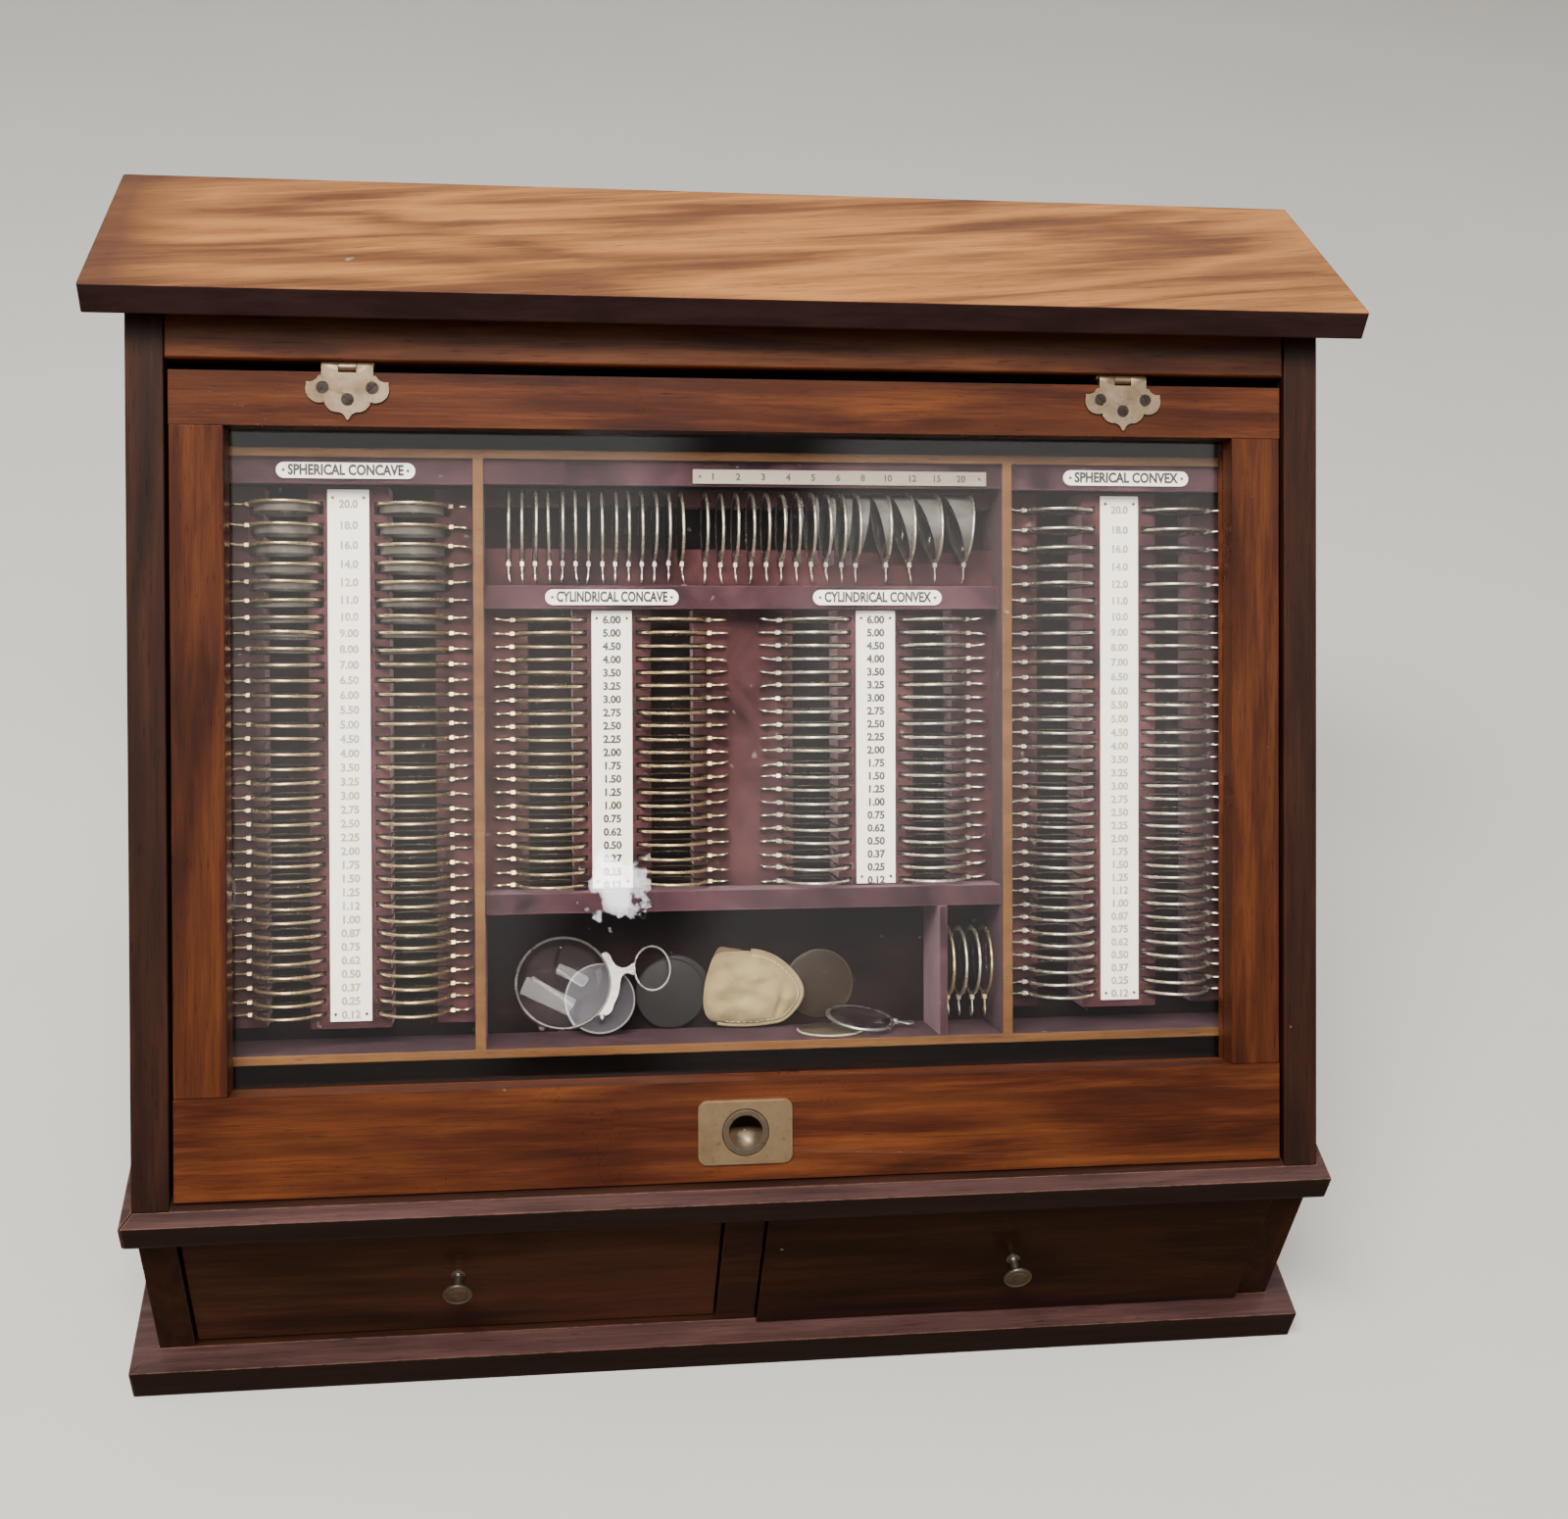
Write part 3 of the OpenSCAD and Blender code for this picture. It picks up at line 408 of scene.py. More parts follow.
def plain(name, colour, other, scale, rough=0.5, amount=0.5, bump=0.15, depth=0.2, **more):
    """A surface with two tones in soft patches and a fine bump."""
    t = Nodes(name)
    patches = t.noise(t.coords(), scale, 5, 0.6)
    tone = t.mix(t.times(t.span(patches, 0.35, 0.7), amount), colour, other)
    fine = t.noise(t.coords(), scale * 9, 3, 0.6)
    return t.finish(
        t.shader(**{
            "Base Color": tone,
            "Roughness": t.span(patches, 0.3, 0.7, rough - 0.06, rough + 0.1),
            "Normal": t.bump(fine, bump, depth * MM),
            **more,
        })
    )


def ivory():
    """Creamy ivory strips; the long one above the prisms has aged grey."""
    t = Nodes("ivory_strip")
    patches = t.noise(t.coords(), 24, 5, 0.6)
    stains = t.times(t.span(patches, 0.35, 0.7), 0.6)
    tone = t.mix(stains, (0.97, 0.92, 0.82), (0.93, 0.865, 0.74))
    aged = t.mix(t.span(patches, 0.3, 0.7), (0.24, 0.20, 0.155), (0.32, 0.27, 0.21))
    place = t.geometry("Position")
    across = t.split(place)["X"]
    start = SIN * FRONT_Y + COS * SILL_Z + (SCALE_UP - 3.5) * MM
    above = t.span(t.vector("DOT_PRODUCT", place, UP_SLOPE), start - 0.1 * MM, start + 0.1 * MM)
    middle = t.times(t.span(across, -0.06, -0.05), t.span(across, 0.14, 0.13))
    tone = t.mix(t.times(above, middle), tone, aged)
    fine = t.noise(t.coords(), 220, 3, 0.6)
    return t.finish(
        t.shader(**{
            "Base Color": tone,
            "Roughness": t.span(patches, 0.3, 0.7, 0.36, 0.52),
            "Coat Weight": 0.15,
            "Normal": t.bump(fine, 0.05, 0.05 * MM),
        })
    )


RED = ((0.0170, 0.0037, 0.0021), (0.074, 0.0170, 0.0056), (0.190, 0.056, 0.0145))
STILE = tuple(tuple(0.82 * x for x in tone) for tone in RED)
FRIEZE = ((0.018, 0.0042, 0.0026), (0.080, 0.0200, 0.0070), (0.21, 0.070, 0.0190))
TOP = ((0.072, 0.025, 0.0120), (0.210, 0.080, 0.0260), (0.54, 0.225, 0.062))
DARK = ((0.0085, 0.0033, 0.0022), (0.0230, 0.0080, 0.0048), (0.058, 0.0200, 0.0100))
DRAWER = ((0.0065, 0.0023, 0.0015), (0.0180, 0.0058, 0.0032), (0.047, 0.0150, 0.0068))
# BROWN: the drawer wood painted lighter, as light on the left drawer front
BROWN = ((0.0150, 0.0054, 0.0034), (0.0470, 0.0162, 0.0092), (0.100, 0.0350, 0.0175))
MOULD = ((0.021, 0.0102, 0.0104), (0.056, 0.0270, 0.0255), (0.120, 0.0570, 0.0530))
PALE = ((0.050, 0.019, 0.0050), (0.108, 0.046, 0.0120), (0.175, 0.077, 0.0225))
BOX = ((0.16, 0.085, 0.036), (0.27, 0.155, 0.07), (0.38, 0.24, 0.12))
SPECK = (0.34, 0.27, 0.22)
WORN = (0.24, 0.125, 0.085)
DARK_WORN = (0.11, 0.052, 0.040)
GRIMY = (0.035, 0.0095, 0.0060)
DEEP, LIT = (0.0140, 0.0062, 0.0086), (0.074, 0.0335, 0.0400)

# the top board's front edge is painted dark as shade (front)
m_top = wood("top_mahogany", TOP, "x", (0, 0, -0.17), figure=0.75, rough=0.34, coat=0.08,
             stain=(-0.282, -0.320), worn=(0.05, 0.014, 0.009), wear=0.6, seed=3.1, pores=0.45,
             cloud=0.25, front=(0.0170, 0.0082, 0.0080))
m_rail = wood("door_rail_mahogany", RED, "x", TO_SLOPE, figure=0.3, rough=0.28, coat=0.14,
              worn=GRIMY, wear=0.7, seed=1.2)
m_stile = wood("door_stile_mahogany", STILE, "y", TO_SLOPE, figure=0.25, rough=0.28, coat=0.12,
               worn=GRIMY, wear=0.7, seed=5.4)
m_frieze = wood("frieze_mahogany", FRIEZE, "x", TO_SLOPE, figure=0.35, rough=0.36, coat=0.2,
                worn=(0.42, 0.17, 0.06), wear=0.7, seed=8.8)
m_side = wood("side_dark_wood", DARK, "y", TO_SLOPE, figure=0.3, rough=0.38, coat=0.12,
              worn=DARK_WORN, wear=0.6, seed=2.3)
m_dark = wood("case_dark_wood", DARK, "x", figure=0.3, rough=0.38, coat=0.25, worn=DARK_WORN,
              wear=0.6, seed=7.7)
FRONT_LOOK = dict(figure=0.5, rough=0.36, coat=0.2, worn=DARK_WORN, wear=0.4, seed=9.9)
m_front = wood("drawer_front_wood", DRAWER, "x", **FRONT_LOOK)
# the left drawer front: a lighter copy of the drawer front wood, painted light for the brighter left side
m_drawer_front_painted_lit = wood("drawer_front_painted_lit", BROWN, "x", **FRONT_LOOK)
# the mouldings' front faces are painted dark as shade (front)
m_mould = wood("moulding_wood", MOULD, "x", figure=0.3, rough=0.40, coat=0.25, worn=WORN, wear=0.9,
               seed=4.4, front=(0.0100, 0.0058, 0.0056))
m_pale = wood("tray_edge_wood", PALE, "x", TO_SLOPE, figure=0.2, rough=0.55, coat=0.0,
              worn=(0.07, 0.035, 0.018), wear=0.5, seed=6.1, pores=0.8,
              lining=(DEEP, tuple(0.6 * x for x in LIT), 5.0, 0.12, 0.1))
m_box = wood("drawer_box_wood", BOX, "y", figure=0.2, rough=0.6, coat=0.0, seed=2.9, pores=0.4,
             cloud=0.2)
m_floor_cloth = velvet_material("tray_floor_velvet", (0.0040, 0.0022, 0.0026),
                                (0.0150, 0.0072, 0.0080), 1.0, 0.3, 0.2)
m_velvet = velvet_material("aubergine_velvet", DEEP, LIT)
m_rack = velvet_material("rack_velvet", (0.0170, 0.0065, 0.0080), (0.080, 0.0300, 0.0330), 2.0,
                         0.35, 0.1)
m_nickel = metal("old_nickel", (0.57, 0.43, 0.29), (0.33, 0.225, 0.135), 0.34, 0.7, 70, rubbed=0.8)
m_catch = metal("catch_bronze", (0.55, 0.385, 0.220), (0.33, 0.215, 0.110), 0.34, 0.6, 50,
                rubbed=0.7)
# the cup's walls that face down the slope are painted dark as shade and a dark reflection
m_cup = metal("catch_cup", (0.46, 0.36, 0.25), (0.25, 0.17, 0.10), 0.26, 0.6, 90, 0.15, rubbed=0.6,
              shade=(0, -SIN, -COS))
m_knob = metal("knob_metal", (0.36, 0.32, 0.26), (0.17, 0.14, 0.11), 0.32, 0.7, 90, rubbed=0.8)
m_screw = metal("screw_steel", (0.115, 0.092, 0.080), (0.05, 0.040, 0.034), 0.42, 0.8, 200,
                rubbed=0.4)
m_gilt = metal("gilt_rim", (0.72, 0.56, 0.32), (0.44, 0.31, 0.15), 0.15, 0.5, 50, 0.1)
m_silver = metal("silver_rim", (0.76, 0.69, 0.57), (0.50, 0.43, 0.33), 0.15, 0.5, 50, 0.1)
m_bright = metal("magnifier_metal", (0.52, 0.50, 0.47), (0.32, 0.30, 0.28), 0.20, 0.6, 60, 0.15,
                 rubbed=0.6)
m_pin = metal("pin_metal", (0.16, 0.12, 0.08), (0.07, 0.05, 0.035), 0.45, 0.6, 300)
m_ivory = ivory()
m_ink = plain("faded_ink", (0.30, 0.245, 0.18), (0.46, 0.39, 0.30), 260, 0.7, 0.8, 0.05, 0.05)
m_ink_dark = plain("dark_ink", (0.028, 0.021, 0.015), (0.080, 0.064, 0.046), 260, 0.7, 0.8, 0.05,
                   0.05)
m_ink_plate = plain("plate_ink", (0.010, 0.007, 0.005), (0.026, 0.019, 0.014), 260, 0.7, 0.8, 0.05,
                    0.05)
m_pane = glass_material("door_pane_glass", (1, 1, 1))
m_glass = glass_material("lens_glass", (0.97, 0.985, 0.98))
DULL = {"Specular IOR Level": 0.2}
m_ground = plain("ground_glass_edge", (0.046, 0.040, 0.032), (0.090, 0.080, 0.066), 160, 0.42, 0.8,
                 0.2, 0.1)
m_prism = plain("ground_prism_edge", (0.055, 0.051, 0.046), (0.120, 0.112, 0.100), 120, 0.36, 0.8,
                0.2, 0.1)
m_smoke = plain("smoked_glass", (0.017, 0.016, 0.016), (0.022, 0.021, 0.021), 14, 0.45, 0.6, 0.02,
                0.05, **DULL)
m_grey = plain("lilac_disc", (0.026, 0.022, 0.028), (0.038, 0.033, 0.041), 14, 0.42, 0.7, 0.03,
               0.05, **DULL)
m_brown = plain("brown_disc", (0.020, 0.0130, 0.0080), (0.026, 0.0170, 0.0110), 14, 0.45, 0.7,
                0.03, 0.05, **DULL)
m_rim_edge = plain("ground_disc_edge", (0.20, 0.185, 0.18), (0.27, 0.25, 0.24), 90, 0.4, 0.7, 0.1,
                   0.1)
m_brown_edge = plain("brown_disc_edge", (0.035, 0.025, 0.017), (0.060, 0.046, 0.032), 90, 0.4, 0.7,
                     0.1, 0.1)
m_olive = plain("olive_disc", (0.050, 0.041, 0.028), (0.066, 0.055, 0.039), 14, 0.3, 0.7, 0.03,
                0.05)
m_olive_edge = plain("olive_disc_edge", (0.26, 0.22, 0.145), (0.34, 0.295, 0.20), 90, 0.4, 0.7,
                     0.1, 0.1)


def pale_floor():
    """Pale to the camera, also through glass; as dark as a table in reflections."""
    t = Nodes("pale_floor")
    patches = t.noise(t.coords(), 3, 4, 0.6)
    tone = t.mix(t.span(patches, 0.3, 0.7), (0.66, 0.65, 0.62), (0.69, 0.68, 0.65))
    pale = t.shader(**{"Base Color": tone, "Roughness": 0.8})
    table = t.shader(**{"Base Color": (0.085, 0.050, 0.028), "Roughness": 0.6})
    return t.finish(t.choose(seen_straight(t), table, pale))


m_floor = pale_floor()


def paint(material, *names):
    for name in names:
        slots = nodes[name].data.materials
        slots.clear()
        slots.append(material)


paint(m_top, "top_board")
paint(m_rail, "door_top_rail", "door_bottom_rail", "glazing_beads")
paint(m_stile, "door_stile_left", "door_stile_right")
paint(m_frieze, "frieze_rail")
paint(m_side, "side_left", "side_right")
paint(m_dark, "back_panel", "waist_board", "bottom_board", "drawer_divider")
# the left drawer front gets the lighter copy, painted light
paint(m_drawer_front_painted_lit, "drawer_left_front")
paint(m_front, "drawer_right_front")
paint(m_mould, "sill_moulding", "base_moulding")
paint(m_pale, "tray_frame")
paint(m_box, "drawer_runners", "tray_bearers", "drawer_left_box", "drawer_right_box")
paint(m_floor_cloth, "tray_floor")
paint(m_velvet, "velvet_panels")
paint(m_rack, "rack_left", "rack_middle", "rack_right", "prism_rack")
paint(m_nickel, "keeper_plate", "hinge_door_leaves", "hinge_frame_leaves", "catch_bolt")
paint(m_catch, "catch_plate")
paint(m_cup, "catch_button")
paint(m_knob, "drawer_left_knob", "drawer_right_knob")
paint(m_screw, "hinge_pins", "hinge_screws", "catch_spring")
paint(m_ivory, "power_strips", "label_plates")
paint(m_pin, "strip_pins")
paint(m_pane, "door_glass")


def soften(width, *names):
    """Rounds a CAD node's sharp edges a little, by modifiers only."""
    for name in names:
        o = nodes[name]
        weld = o.modifiers.new("weld", "WELD")
        weld.merge_threshold = 1e-5
        bevel = o.modifiers.new("edges", "BEVEL")
        bevel.width = width * MM
        bevel.segments = 2
        bevel.limit_method = "ANGLE"
        bevel.angle_limit = math.radians(35)
        bevel.harden_normals = True


soften(0.9, "top_board", "side_left", "side_right", "back_panel", "base_moulding", "sill_moulding")
soften(0.6, "frieze_rail", "door_top_rail", "door_bottom_rail", "door_stile_left", "door_stile_right",
       "drawer_left_front", "drawer_right_front", "drawer_divider", "catch_plate", "tray_frame",
       "drawer_left_box", "drawer_right_box")
soften(0.25, "hinge_door_leaves", "catch_button", "velvet_panels")


# ---------------------------------------------------------------- mesh helpers
class Shape:
    """Collects vertices and faces, with a material number for each face."""

    def __init__(self):
        self.verts, self.faces, self.slots, self.count = [], [], [], 0

    def add(self, verts, faces, matrix=None, slot=0):
        v = np.asarray(verts, float)
        if matrix is not None:
            m = np.array(matrix)
            v = v @ m[:3, :3].T + m[:3, 3]
        self.verts.append(v)
        self.faces += [tuple(i + self.count for i in f) for f in faces]
        self.slots += [slot] * len(faces) if isinstance(slot, int) else list(slot)
        self.count += len(v)

    def build(self, name, materials, body, matrix=IN_TRAY, smooth=40):
        mesh = bpy.data.meshes.new(name)
        mesh.from_pydata((np.concatenate(self.verts) * MM).tolist(), [], self.faces)
        for m in materials:
            mesh.materials.append(m)
        mesh.polygons.foreach_set("material_index", self.slots)
        mesh.validate()
        mesh.update()
        if smooth:
            mesh.shade_smooth()
            mesh.set_sharp_from_angle(angle=math.radians(smooth))
        o = bpy.data.objects.new(name, mesh)
        bpy.context.scene.collection.objects.link(o)
        o.matrix_world = matrix
        bpy.context.view_layer.update()
        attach(o, body)
        return o


def walls(rings, sides, closed=False, start=0):
    """The faces between rings of vertices; closed when the last ring meets the first."""
    faces = []
    for i in range(rings if closed else rings - 1):
        a, b = start + i * sides, start + ((i + 1) % rings) * sides
        faces += [(a + j, b + j, b + (j + 1) % sides, a + (j + 1) % sides) for j in range(sides)]
    return faces


def turned(profile, count, axis):
    """The points of a profile of (radius, along) in each place of a turn about an axis."""
    verts = []
    for i in range(count):
        a = 2 * math.pi * i / count
        c, s = math.cos(a), math.sin(a)
        verts += [(r * c, y, r * s) if axis == "y" else (r * c, r * s, y) for r, y in profile]
    return verts


def revolve(profile, count, axis="y"):
    """A closed profile turned about an axis through the origin."""
    faces = walls(count, len(profile), closed=True)
    if axis != "y":
        faces = [(f[0], f[3], f[2], f[1]) for f in faces]
    return turned(profile, count, axis), faces


def disc(profile, count, axis="y", slots=None):
    """A solid of revolution whose profile runs from the axis out and back to the axis."""
    faces, marks = [], []
    verts = turned(profile[1:-1], count, axis)
    n, first, last = len(profile) - 2, len(verts), len(verts) + 1
    verts += [(0, y, 0) if axis == "y" else (0, 0, y) for _, y in (profile[0], profile[-1])]
    for i in range(count):
        a, b = i * n, ((i + 1) % count) * n
        ring = [(a + j, b + j, b + j + 1, a + j + 1) for j in range(n - 1)]
        ring = [(first, b, a)] + ring + [(a + n - 1, b + n - 1, last)]
        for j, f in enumerate(ring):
            faces.append(f if axis == "y" else tuple(reversed(f)))
            marks.append(slots[j] if slots else 0)
    return verts, faces, marks


def slab(outline, low, high):
    """A flat plate of the given outline (x, z), between two y values, normals outward."""
    n = len(outline)
    verts = [(x, low, z) for x, z in outline] + [(x, high, z) for x, z in outline]
    faces = [tuple(range(n)), tuple(range(2 * n - 1, n - 1, -1))]
    faces += [(i, i + n, (i + 1) % n + n, (i + 1) % n) for i in range(n)]
    return verts, faces


def taken(bm):
    """The vertices and faces of a bmesh, which is freed."""
    bm.verts.index_update()
    verts = [tuple(v.co) for v in bm.verts]
    faces = [tuple(v.index for v in f.verts) for f in bm.faces]
    bm.free()
    return verts, faces


def brick(low, high, chamfer):
    """A block with cut edges."""
    bm = bmesh.new()
    bmesh.ops.create_cube(bm, size=1)
    size = [h - l for l, h in zip(low, high)]
    mid = [(h + l) / 2 for l, h in zip(low, high)]
    for v in bm.verts:
        v.co = Vector([c * s + m for c, s, m in zip(v.co, size, mid)])
    bmesh.ops.bevel(bm, geom=list(bm.edges), offset=chamfer, segments=1, affect="EDGES")
    return taken(bm)


def joined(*parts):
    shape = Shape()
    for verts, faces in parts:
        shape.add(verts, faces)
    return np.concatenate(shape.verts), shape.faces


RING = revolve(
    [(15.75, -0.45), (16.1, -0.7), (17.2, -0.78), (17.7, -0.66), (18.0, -0.3), (18.0, 0.3),
     (17.7, 0.66), (17.2, 0.78), (16.1, 0.7), (15.75, 0.45)], 56)
BLADE_START = 21.6
BLADE = [(BLADE_START, -0.75), (22.6, -1.1), (24, -2.0), (26, -2.3), (27.6, -1.9), (28.4, -0.9),
         (28.5, 0), (28.4, 0.9), (27.6, 1.9), (26, 2.3), (24, 2.0), (22.6, 1.1), (BLADE_START, 0.75)]
LUG = joined(brick((17.4, -1.2, 0.12), (20.2, 1.2, 1.5), 0.35),
             brick((17.4, -1.2, -1.5), (20.2, 1.2, -0.12), 0.35),
             brick((19.7, -0.5, -0.9), (22.2, 0.5, 0.9), 0.25))


def rim_parts(bend):
    """A trial lens rim: ring, closing lug, and a handle that may be a little bent."""
    verts, faces = slab(BLADE, -0.28, 0.28)
    verts = [(x, y + bend * (x - BLADE_START) ** 2 * 0.02, z) for x, y, z in verts]
    return joined(RING, LUG, (verts, faces))


RIMS = [rim_parts(b) for b in (-1.0, -0.4, 0.0, 0.5, 1.1)]


def lens_profile(front, edge_front, edge_back, back):
    """Closed lens section from the front middle round the edge to the back middle."""
    r = GLASS_R - 0.05
    out = [(0, front)]
    out += [(r * t, front + (edge_front - front) * t * t) for t in (0.3, 0.55, 0.78, 0.93)]
    out += [(r, edge_front), (r, edge_back)]
    out += [(r * t, back + (edge_back - back) * t * t) for t in (0.93, 0.78, 0.55, 0.3)]
    return out + [(0, back)]


LENS_SLOTS = [0] * 5 + [1] + [0] * 5


def rim_at(x, up, flip=1.0, across=False, loose=1.0):
    """Where a rim stands in the tray, with a little play in its slot."""
    x, up = x + rng.gauss(0, 0.12) * loose, up + rng.gauss(0, 0.16) * loose
    m = Matrix.Translation((x, up, RIM_Z + rng.uniform(-0.25, 0.15) * loose))
    if across:
        m = m @ Matrix.Rotation(-math.pi / 2, 4, "Z")
    lean = Matrix.Rotation(math.radians(rng.gauss(0, 0.8) * loose), 4, "X")
    turn = Matrix.Rotation(math.radians(rng.gauss(0, 0.5) * loose), 4, "Z")
    roll = Matrix.Rotation(math.radians(rng.gauss(0, 3.2) * loose), 4, "Y")
    side = Matrix.Diagonal((flip, 1, 1, 1)) if flip > 0 else Matrix.Rotation(math.pi, 4, "Y")
    return m @ turn @ lean @ roll @ side


def lens_rows(name, strip, places, rims_node, lens_node, rim_material, power, skip=None):
    """Two rows of rims beside a numeral strip, and their glasses."""
    rims, glasses = Shape(), Shape()
    for row in (-1, 1):
        for k, up in enumerate(places):
            if skip == (row, k):
                continue
            m = rim_at(strip + row * ROW_X, up, row)
            verts, faces = rng.choice(RIMS)
            rims.add(verts, faces, m)
            verts, faces, marks = disc(power(k), LENS_SIDES, slots=LENS_SLOTS)
            glasses.add(verts, faces, m @ Matrix.Rotation(math.pi if row < 0 else 0, 4, "Y"), marks)
    o = rims.build(name + "_rims", [rim_material], "case")
    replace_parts(o, rims_node)
    o = glasses.build(name + "_glasses", [m_glass, m_ground], "case")
    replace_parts(o, lens_node)


def minus_power(k):
    s = strong(k)
    return lens_profile(0.5, 0.55, -0.6 - 4.0 * s, -0.5)


def plus_power(k):
    s = strong(k)
    return lens_profile(0.5 + 2.4 * s, 0.5, -0.5, -0.5 - 2.4 * s)


def cylinder_power(k):
    return lens_profile(0.6, 0.5, -0.5, -0.6)


SPHERE_PLACES = [sphere_up(k) for k in range(SPHERES)]
CYLINDER_PLACES = [cylinder_up(k) for k in range(CYLINDERS)]
for row in (
    ("minus_sphere", -OUTER_X, SPHERE_PLACES, "sphere_minus_rims", "sphere_minus_lenses",
     m_gilt, minus_power),
    ("plus_sphere", OUTER_X, SPHERE_PLACES, "sphere_plus_rims", "sphere_plus_lenses",
     m_silver, plus_power, (1, PULLED)),
    ("minus_cylinder", -INNER_X, CYLINDER_PLACES, "cylinder_minus_rims", "cylinder_minus_lenses",
     m_gilt, cylinder_power),
    ("plus_cylinder", INNER_X, CYLINDER_PLACES, "cylinder_plus_rims", "cylinder_plus_lenses",
     m_silver, cylinder_power),
):
    lens_rows(*row)

# the one lens that lifts
lifted, lifted_glass = Shape(), Shape()
place = rim_at(OUTER_X + ROW_X, sphere_up(PULLED), loose=0.3)
lifted.add(*RIMS[1], place)
verts, faces, marks = disc(plus_power(PULLED), LENS_SIDES, slots=LENS_SLOTS)
lifted_glass.add(verts, faces, place, marks)
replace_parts(lifted.build("lifted_rim", [m_silver], "lifted_lens"), "pulled_lens")
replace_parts(lifted_glass.build("lifted_glass", [m_glass, m_ground], "lifted_lens"), "pulled_glass")

# discs, prisms and spare lenses
upper, dark_discs, wedges = Shape(), Shape(), Shape()
for k in range(FILTERS):
    m = rim_at(FILTER_X + FILTER_GAP * k, FILTER_UP, across=True)
    upper.add(*rng.choice(RIMS), m)
    verts, faces, marks = disc(cylinder_power(k), LENS_SIDES, slots=LENS_SLOTS)
    dark_discs.add(verts, faces, m, [0 if k > 3 else 1] * len(marks))
for k in range(SPARES):
    m = rim_at(SPARE_X + SPARE_GAP * k, SPARE_UP, across=True)
    upper.add(*rng.choice(RIMS), m, 1 if k in (0, 3) else 0)
    verts, faces, marks = disc(cylinder_power(k), LENS_SIDES, slots=LENS_SLOTS)
    dark_discs.add(verts, faces, m, [1] * len(marks))


def wedge(k):
    """A prism: a round glass cut to a wedge, thick away from the handle."""
    base = wedge_base(k)
    sign = 1 if k < TURNED else -1
    r, n = GLASS_R - 0.05, 48
    verts = []
    for i in range(n):
        a = 2 * math.pi * i / n
        x, z = r * math.cos(a), r * math.sin(a)
        thick = 0.6 + base * (r - x) / (2 * r)
        verts += [(x, -0.6 * sign, z), (x, thick * sign, z)]
    faces = [tuple(2 * i for i in range(n)), tuple(2 * i + 1 for i in range(n - 1, -1, -1))]
    nexts = [(2 * i, 2 * ((i + 1) % n)) for i in range(n)]
    faces += [(a, a + 1, b + 1, b) for a, b in nexts]
    if sign > 0:
        faces = [tuple(reversed(f)) for f in faces]
    return verts, [tuple(reversed(f)) for f in faces], [0, 0] + [1] * n


for k, x in enumerate(prism_places()):
    m = rim_at(x, FILTER_UP, across=True, loose=0.7)
    if k == PRISMS - 1:
        m = m @ Matrix.Rotation(math.radians(-5), 4, "Z")
    upper.add(*rng.choice(RIMS), m)
    verts, faces, marks = wedge(k)
    wedges.add(verts, faces, m, marks)

lying = Matrix.Translation((60, TRAY_LOW + 6.2, FLOOR_TOP + 19))
lying = (lying @ Matrix.Rotation(math.radians(-7), 4, "Z")
         @ Matrix.Rotation(math.radians(9), 4, "X"))
upper.add(*RIMS[3], lying, 2)
verts, faces, marks = disc(lens_profile(3.2, 0.6, -0.6, -3.2), LENS_SIDES, slots=LENS_SLOTS)
dark_discs.add(verts, faces, lying, [1] * len(marks))
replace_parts(upper.build("accessory_rims_fine", [m_silver, m_gilt, m_bright], "case"), "accessory_rims")
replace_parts(dark_discs.build("accessory_glasses", [m_smoke, m_glass], "case"), "filter_discs")
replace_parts(wedges.build("prism_glasses", [m_glass, m_prism], "case"), "prism_wedges")

# ---------------------------------------------------------------- numerals and plates
SPHERE_POWERS = [20, 18, 16, 14, 12, 11, 10, 9, 8, 7, 6.5, 6, 5.5, 5, 4.5, 4, 3.5, 3.25, 3, 2.75,
                 2.5, 2.25, 2, 1.75, 1.5, 1.25, 1.12, 1, 0.87, 0.75, 0.62, 0.5, 0.37, 0.25, 0.12]
CYLINDER_POWERS = [6, 5, 4.5, 4, 3.5, 3.25, 3, 2.75, 2.5, 2.25, 2, 1.75, 1.5, 1.25, 1, 0.75, 0.62,
                   0.5, 0.37, 0.25, 0.12]
PRISM_POWERS = [1, 2, 3, 4, 5, 6, 8, 10, 12, 15, 20]


def lettering(shape, text, x, up, z, size, wide=None, bold=0.0):
    """Adds flat lettering, centred at a place on the tray, and as wide as asked."""
    curve = bpy.data.curves.new("lettering", "FONT")
    curve.body = text
    curve.size = size
    curve.align_x, curve.align_y = "CENTER", "CENTER"
    curve.resolution_u = 3
    curve.extrude = 0.03
    curve.offset = bold
    o = bpy.data.objects.new("lettering", curve)
    bpy.context.scene.collection.objects.link(o)
    bpy.context.view_layer.update()
    mesh = o.evaluated_get(bpy.context.evaluated_depsgraph_get()).to_mesh()
    across = [v.co.x for v in mesh.vertices]
    stretch = wide / (max(across) - min(across)) if wide else 1.0
    verts = [(v.co.x * stretch, v.co.y, v.co.z) for v in mesh.vertices]
    shape.add(verts, [tuple(p.vertices) for p in mesh.polygons], Matrix.Translation((x, up, z + 0.03)))
    o.to_mesh_clear()
    bpy.data.objects.remove(o)
    bpy.data.curves.remove(curve)


def power_text(p):
    return f"{p:.1f}" if p >= 10 else f"{p:.2f}"


